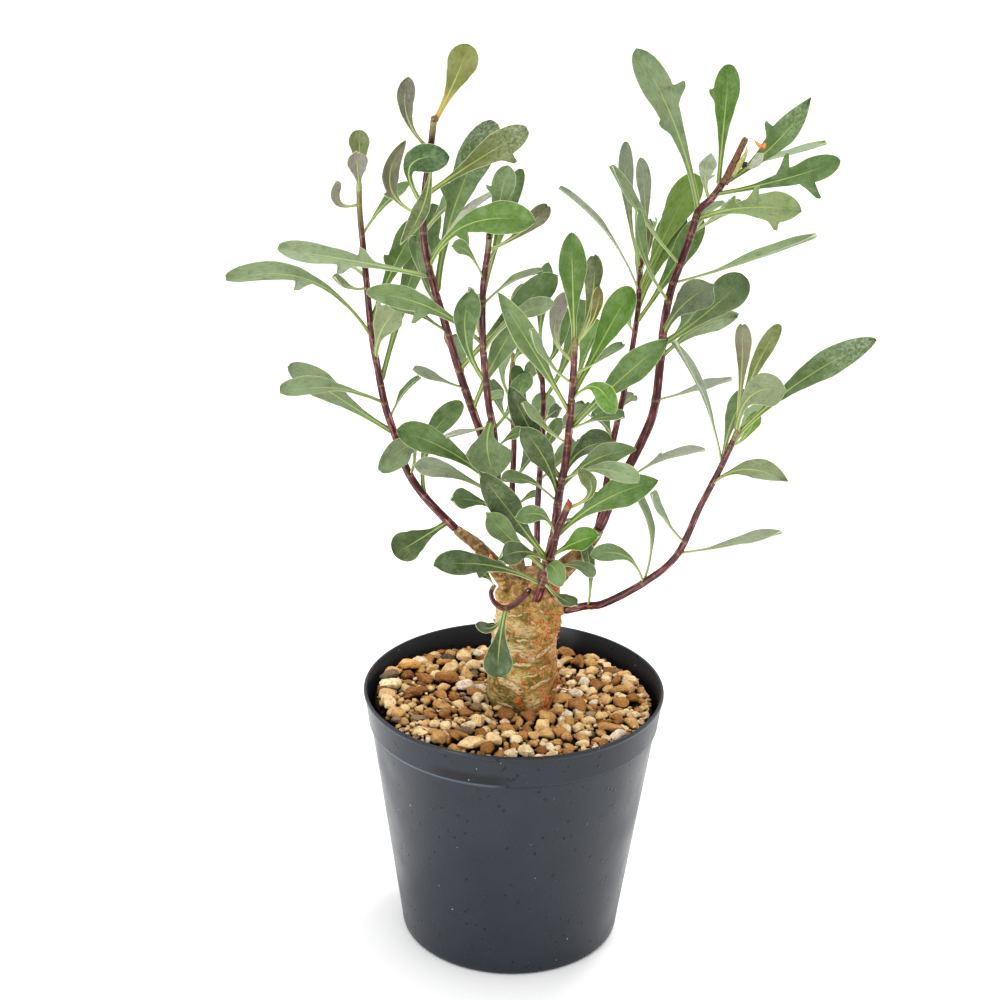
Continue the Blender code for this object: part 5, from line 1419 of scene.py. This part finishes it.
# The growing tips: a sheathed brown tip with a dried orange leaf on a thread at the right, small red buds,
# a blackened tip, and a short red twig with its bud on the trunk. Each grew out of the stem it ends.
BUD_SIDES = 10
BUD_STEP = 0.5
# Each bud: its route as (picture x, picture y, mm away from the front), radii in mm along it, and its
# tone from black through maroon, red, orange and tan to yellow-green
BUDS = {
    "shoot_b": (
        (((435, 121, -13), (434, 116, -13)), (1.35, 1.1), 0.16),
    ),
    "shoot_c": (
        (((489, 238, -28), (489, 234, -28.5), (486, 232, -28.5)), (1.0, 0.7, 0.3), 0.0),
    ),
    "shoot_g": (
        (((569, 507, -33), (569, 503, -34), (568, 499, -34)), (1.0, 0.9, 0.3), 0.4),
    ),
    "shoot_i": (
        (((724, 184, 21), (734, 163, 22), (741, 148, 24), (745, 137, 25)), (1.6, 1.6, 1.2, 0.4), 0.17),
        (((732, 176, 21), (740, 164, 21.5), (746, 153, 23), (747, 146, 24.5)), (0.8, 1.3, 0.9, 0.2), 0.97),
        (((745, 139, 26), (750, 138, 26), (756, 142, 26)), (0.28, 0.24, 0.3), 0.84),
        (((755, 141, 26), (759, 145, 25.5), (764, 147, 26), (765, 143, 26.5)), (0.3, 0.8, 0.85, 0.3), 0.6),
        (((743, 168, 22), (745, 164, 21), (747, 162, 21)), (0.4, 1.1, 0.3), 0.05),
    ),
    "caudex": (
        (((545, 582, -12), (549, 589, -13), (553, 597, -13.5)), (0.9, 0.85, 0.8), 0.26),
        (((554, 596, -13), (555, 591, -14), (557, 586, -14)), (0.6, 1.3, 0.3), 0.5),
        (((527, 556, 0), (527, 551, -1), (526, 547, -1)), (1.2, 1.2, 0.4), 0.72),
        (((491, 561, -2), (491, 557, -3), (490, 554, -3)), (1.0, 1.0, 0.4), 0.68),
    ),
}

bud_skin = Finish("bud_skin", Specular_IOR_Level=0.4)
bud_mottle = bud_skin.noise(0.9, 4.0, 0.6)
bud_colour = (bud_skin.read("bud_tone") + bud_mottle * 0.7 - 0.35).ramp(
    (0.08, (0.020, 0.012, 0.008)), (0.17, (0.24, 0.13, 0.060)), (0.25, (0.12, 0.020, 0.022)),
    (0.46, (0.42, 0.055, 0.025)), (0.62, (0.72, 0.26, 0.07)), (0.74, (0.80, 0.42, 0.18)),
    (0.86, (0.60, 0.48, 0.30)), (0.97, (0.34, 0.36, 0.10)))
bud_finish = bud_skin.done(bud_colour, bud_mottle.rise(0.2, 0.8, 0.35, 0.6), bud_mottle, 0.15)
for name, buds in BUDS.items():
    points = []
    faces = []
    tones = []
    for route, radii, tone in buds:
        dense = smooth_curve([seen(across, down, depth * MM) for across, down, depth in route])
        path = evenly(dense, BUD_STEP * MM)
        widths = []
        for number in range(len(path)):
            spot = (len(radii) - 1) * number / (len(path) - 1)
            lower = min(int(spot), len(radii) - 2)
            widths.append((radii[lower] + (radii[lower + 1] - radii[lower]) * (spot - lower)) * MM)
        more, sides = tube_parts(path, widths, BUD_SIDES, len(points))
        points += more
        faces += sides
        tones += [tone] * len(more)
    thing = mesh_object(name + "_buds", points, faces, bud_finish)
    keep_on_points(thing.data, "bud_tone", tones)
    settle(thing, name, "bark" if name == "caudex" else "leafy_stem")

# The leaves: fleshy spatulate blades with a rounded end, some with a tooth or a lobe, a pale midrib and a
# thin pale margin, and a grey bloom. Each stalk springs from its stem, and the blade arches as it grew.
BLADE_TIP = 0.18
BLADE_THICKNESS = 0.8
THICKNESS_AT_ROOT = 1.15
THINNING = 0.35
THIN_BELOW = 0.6
MIDDLE_SHARES = (0.4, 0.6)
BEND_STEP = 4.0
BEND_TRIES = 14
BEND_TIE = 0.001 * MM
BLADE_STATIONS = 26
END_STATIONS = {0.985, 0.995}
LAST_STATION = 0.999
LENGTH_PARTS = 8
# Where a blade's points lie across it, from one edge, -1, to the other, and how many stand in the ring of
# each station, over the top and back under
BLADE_COLUMNS = (-1.0, -0.93, -0.72, -0.4, -0.09, 0.09, 0.4, 0.72, 0.93, 1.0)
RING_SIZE = 2 * len(BLADE_COLUMNS) - 2
STALK_END = 0.28
BLADE_OVER = 0.3
BLADE_WIDTHS = ((0.0, 0.25), (0.05, 0.19), (0.2, 0.19), (0.34, 0.27), (0.5, 0.50), (0.62, 0.76),
                (WIDEST, 1.0))
ROUND_END = 2.3
POINTED_END = 1.8
STALK_WIDTH = 0.2
LOBE_RISE = 0.075
LOBE_FALL = 0.04
LOBE_PARTS = 3
LOBE_REACH = 1.15
LOBE_FULLNESS = 1.25
LOBE_LEAN = 0.35
CUP = 0.16
CUP_SHARES = (0.2, 1.8)
FOLD = 0.2
WAVE = 0.07
WAVE_SLANT = 2.0
WAVES = (1.6, 2.8)
TWIST = 9.0
TWIST_FROM = 0.3
LEAF_SEED = 17
SHADES = (0.82, 1.2)
GREYING = (0.0, 0.18)
BLOOM = (0.0, 0.22)
GREY_END_FROM = 0.55
GREY_END_OVER = 0.35
LEAF_VALUES = ("leaf_colour", "leaf_across", "leaf_edge", "leaf_along", "leaf_length", "leaf_under",
               "leaf_bloom", "leaf_number", "leaf_ripe")
# Each tone of a leaf, as shares of red, green and blue light
COLOURS = {
    "green": (0.094, 0.164, 0.040),
    "mid": (0.150, 0.222, 0.080),
    "soft": (0.210, 0.272, 0.138),
    "silver": (0.280, 0.310, 0.225),
    "bright": (0.086, 0.190, 0.012),
    "fresh": (0.190, 0.300, 0.048),
    "vivid": (0.022, 0.085, 0.004),
    "deep": (0.062, 0.098, 0.029),
    "olive": (0.145, 0.165, 0.040),
    "moss": (0.086, 0.108, 0.018),
    "frost": (0.420, 0.430, 0.360),
    "bronze": (0.150, 0.110, 0.003),
    "lime": (0.205, 0.275, 0.085),
    "brown": (0.120, 0.098, 0.048),
    "taupe": (0.185, 0.165, 0.105),
    "lilac": (0.345, 0.300, 0.265),
    "purple": (0.105, 0.085, 0.070),
    "grey": (0.115, 0.140, 0.085),
    "pale": (0.225, 0.260, 0.135),
    "dark": (0.030, 0.048, 0.022),
    "yellow": (0.210, 0.215, 0.045),
}


def half_width(share, point, widest):
    """Half the blade's plain width at a share of its length, as a share of its widest. Its end goes from
    round to pointed as point goes from 0 to 1."""
    if share < widest:
        share = share * WIDEST / widest
    else:
        share = 1.0 - (1.0 - share) * (1.0 - WIDEST) / (1.0 - widest)
    for (low, first), (high, second) in zip(BLADE_WIDTHS, BLADE_WIDTHS[1:]):
        if share <= high:
            t = (share - low) / (high - low)
            if high == WIDEST:
                return first + (second - first) * t * t * (3.0 - 2.0 * t)
            return first + (second - first) * t
    t = (share - WIDEST) / (1.0 - WIDEST)
    return (1.0 - point) * math.sqrt(max(1.0 - t ** ROUND_END, 0.0)) + point * (1.0 - t ** POINTED_END)


def lobe_width(leaf, share, side):
    """How far a blade's lobes stand out of its plain edge on one side, in millimetres."""
    out = 0.0
    for middle, lobe_side, size in leaf.lobes:
        if lobe_side != side:
            continue
        span = LOBE_RISE if share < middle else LOBE_FALL
        t = max(1.0 - abs(share - middle) / span, 0.0)
        out = max(out, LOBE_REACH * size * min(LOBE_FULLNESS * t * t * (3.0 - 2.0 * t), 1.0))
    return out


def arch(leaf, root, toward):
    """The blade's curve for a forward reach of its tip: a place, a heading and a face for any share."""
    tip = seen(*leaf.tip, root.y - toward)
    middle = seen(*leaf.mid, root.y - 0.5 * toward)
    share = (middle - root).length / ((middle - root).length + (tip - middle).length)
    share = min(max(share, MIDDLE_SHARES[0]), MIDDLE_SHARES[1])
    bend = (middle - (1.0 - share) ** 2 * root - share ** 2 * tip) / (2.0 * share * (1.0 - share))
    along = (tip - root).normalized()
    facing = (EYE - middle).normalized()
    facing = (facing - along * facing.dot(along)).normalized()
    turns = [Matrix.Rotation(math.radians(angle), 3, along) @ facing for angle in (leaf.turn, -leaf.turn)]
    facing = max(turns, key=lambda normal: normal.z)

    def at(share):
        place = (1 - share) ** 2 * root + 2 * share * (1 - share) * bend + share ** 2 * tip
        heading = (2 * (1 - share) * (bend - root) + 2 * share * (tip - bend)).normalized()
        normal = (facing - heading * facing.dot(heading)).normalized()
        return place, heading, normal, heading.cross(normal)

    return at


def settled_arch(leaf, root, solid):
    """The curve on which this leaf lies in the CAD model, among those that it may have been bent to."""
    best = None
    for attempt in range(2 * BEND_TRIES + 1):
        swing = BEND_STEP * ((attempt + 1) // 2) * (1 if attempt % 2 else -1)
        at = arch(leaf, root, (leaf.toward + swing) * MM)
        place, _, normal, across = at(1.0)
        half = 0.5 * leaf.wide * BLADE_TIP * MM
        off = 0.0
        for side in (-1.0, 1.0):
            for face in (-1.0, 1.0):
                corner = place + across * half * side + normal * 0.5 * BLADE_THICKNESS * MM * face
                off = max(off, solid.find_nearest(corner)[3])
        if best is None or off < best[0] - BEND_TIE:
            best = (off, at)
    return best[1]


def add_point(place, *values):
    """Add a point to the leaves of a stem, no higher than the CAD model's top, with the values kept on it."""
    points.append(Vector((place.x, place.y, min(place.z, cad_box[1][2]))))
    for key, value in zip(LEAF_VALUES, values):
        kept[key].append(value)


def ring_point(first, station, slot):
    """Number of a point in a station's ring: over the top from one edge to the other, and back under."""
    slot %= RING_SIZE
    columns = len(BLADE_COLUMNS)
    place = slot if slot < columns else columns + (RING_SIZE - slot) - 1
    return first + 1 + station * RING_SIZE + place


leaf = Finish("leaf_skin", Specular_IOR_Level=0.36)
own = leaf.read("leaf_colour", "Color")
across_mm = leaf.read("leaf_across")
off_rib_mm = leaf.maths("ABSOLUTE", across_mm)
along_mm = leaf.read("leaf_length")
share_along = leaf.read("leaf_along")
from_edge = leaf.read("leaf_edge")
under = leaf.read("leaf_under")
bloom = leaf.read("leaf_bloom")
ripe = leaf.read("leaf_ripe")
cloud = leaf.noise(5.0, 4.0, 0.55)
mottle = leaf.noise(1.1, 5.0, 0.65)
speck = leaf.noise(0.55, 3.0, 0.6)
grain_place = leaf.node("CombineXYZ", inputs={0: across_mm * 0.0016, 1: along_mm * 0.0004,
                                              2: leaf.read("leaf_number") * 0.07})
streak = leaf.noise(1.0, 4.0, 0.6, grain_place)
vein_way = along_mm * 0.9 - off_rib_mm * 1.4
veins = leaf.maths("SINE", vein_way * 2.4 + mottle * 1.6).rise(0.75, 1.0)
rib = (off_rib_mm + share_along * 0.34).rise(0.56, 0.30) * share_along.rise(0.93, 0.62)
skin = own.coats(
    (cloud.rise(0.42, 0.68) * 0.30, (0.26, 0.32, 0.18)),
    (cloud.rise(0.48, 0.32) * 0.30, (0.060, 0.095, 0.034)),
    (streak.rise(0.52, 0.30) * 0.32, (0.030, 0.055, 0.018)),
    (streak.rise(0.50, 0.80) * 0.26, (0.24, 0.31, 0.15)),
    (bloom * mottle.rise(0.40, 0.68) * 0.8, (0.42, 0.46, 0.37)),
    (under * 0.45, (0.20, 0.25, 0.15)),
    (veins * 0.07, (0.20, 0.28, 0.09)),
    (share_along.rise(0.36, 0.12) * 0.45, (0.17, 0.23, 0.045)),
    (rib * 0.68, (0.42, 0.51, 0.15)),
    (from_edge.rise(0.32, 0.10) * 0.85, (0.50, 0.56, 0.32)),
    (share_along.rise(0.055, 0.02) * 0.7, (0.44, 0.40, 0.12)),
    (ripe * share_along.rise(0.52, 0.12) * 0.85, (0.52, 0.36, 0.11)),
    (speck.rise(0.71, 0.76) * 0.4, (0.45, 0.50, 0.38)),
)
leaf_finish = leaf.done(skin, mottle.rise(0.2, 0.8, 0.40, 0.60),
                        mottle * 0.5 + streak * 0.8 + rib * -1.2 + veins * -0.2, 0.14)

rng = random.Random(LEAF_SEED)
for name, rows in LEAVES.items():
    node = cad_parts[name]
    solid = BVHTree.FromPolygons([vert.co.copy() for vert in node.data.vertices],
                                 [tuple(face.vertices) for face in node.data.polygons])
    points = []
    faces = []
    kept = {key: [] for key in LEAF_VALUES}
    for number, row in enumerate(rows):
        root = nearest_on(stem_routes[name], row.root)
        at = settled_arch(row, root, solid)
        spans = [at((n + 1) / LENGTH_PARTS)[0] - at(n / LENGTH_PARTS)[0] for n in range(LENGTH_PARTS)]
        length = sum(span.length for span in spans) / MM
        half = 0.5 * row.wide
        colour = Vector(COLOURS[row.tone]) * rng.uniform(*SHADES)
        colour = tuple(colour.lerp(Vector(COLOURS["grey"]), rng.uniform(*GREYING)))
        grey = rng.uniform(*BLOOM)
        ripe = 1.0 if row.tone == "yellow" else 0.0
        phase = rng.uniform(0.0, NEARLY_A_TURN)
        waves = rng.uniform(*WAVES)
        twist = rng.gauss(0.0, TWIST)
        cup = CUP * rng.uniform(*CUP_SHARES)
        stations = {n / BLADE_STATIONS for n in range(1, BLADE_STATIONS)} | END_STATIONS
        for middle, _, _ in row.lobes:
            stations |= {middle + LOBE_FALL * part / LOBE_PARTS for part in range(LOBE_PARTS + 1)}
            stations |= {middle - LOBE_RISE * part / LOBE_PARTS for part in range(LOBE_PARTS + 1)}
        stations = sorted(share for share in stations if share < LAST_STATION)
        first = len(points)
        place, _, _, _ = at(0.0)
        add_point(place, colour, 0.0, half * STALK_WIDTH, 0.0, 0.0, 0.0, grey, number, ripe)
        for share in stations:
            place, heading, normal, across = at(share)
            turn = Matrix.Rotation(math.radians(twist * max(share - TWIST_FROM, 0.0)), 3, heading)
            normal = turn @ normal
            across = turn @ across
            plain = half * half_width(share, row.point, row.widest)
            widths = {side: plain + lobe_width(row, share, side) for side in (-1, 1)}
            blade_share = held((share - STALK_END) / BLADE_OVER)
            thick = BLADE_THICKNESS * (THICKNESS_AT_ROOT - THINNING * share)
            bloom_here = grey + row.worn * held((share - GREY_END_FROM) / GREY_END_OVER)
            for below in (0.0, 1.0):
                for v in BLADE_COLUMNS[1:-1] if below else BLADE_COLUMNS:
                    wide = widths[1 if v < 0 else -1]
                    out = -v * wide
                    wave = math.sin(phase + NEARLY_A_TURN * waves * share + WAVE_SLANT * v)
                    rise = (cup * half * abs(v) ** 2 * blade_share + FOLD * half * abs(v) * blade_share
                            + WAVE * half * v * v * wave * blade_share)
                    body = 0.5 * thick * math.sqrt(max(1.0 - v * v, 0.0)) * min(wide / THIN_BELOW, 1.0)
                    lean = LOBE_LEAN * max(wide - plain, 0.0) * abs(v)
                    off = across * out + normal * (rise + (-body if below else body)) + heading * lean
                    add_point(place + off * MM, colour, out, (1.0 - abs(v)) * wide, share, share * length,
                              below, bloom_here, number, ripe)
        place, _, _, _ = at(1.0)
        add_point(place, colour, 0.0, 0.0, 1.0, length, 0.0, grey, number, ripe)
        last = len(points) - 1
        end = len(stations) - 1
        for station in range(end):
            for slot in range(RING_SIZE):
                faces.append((ring_point(first, station, slot),
                              ring_point(first, station, slot + 1),
                              ring_point(first, station + 1, slot + 1),
                              ring_point(first, station + 1, slot)))
        for slot in range(RING_SIZE):
            faces.append((first, ring_point(first, 0, slot + 1), ring_point(first, 0, slot)))
            faces.append((last, ring_point(first, end, slot), ring_point(first, end, slot + 1)))
    thing = mesh_object(name + "_leaves", points, faces, leaf_finish)
    for key, values in kept.items():
        keep_on_points(thing.data, key, values)
    settle(thing, name, "leafy_stem")
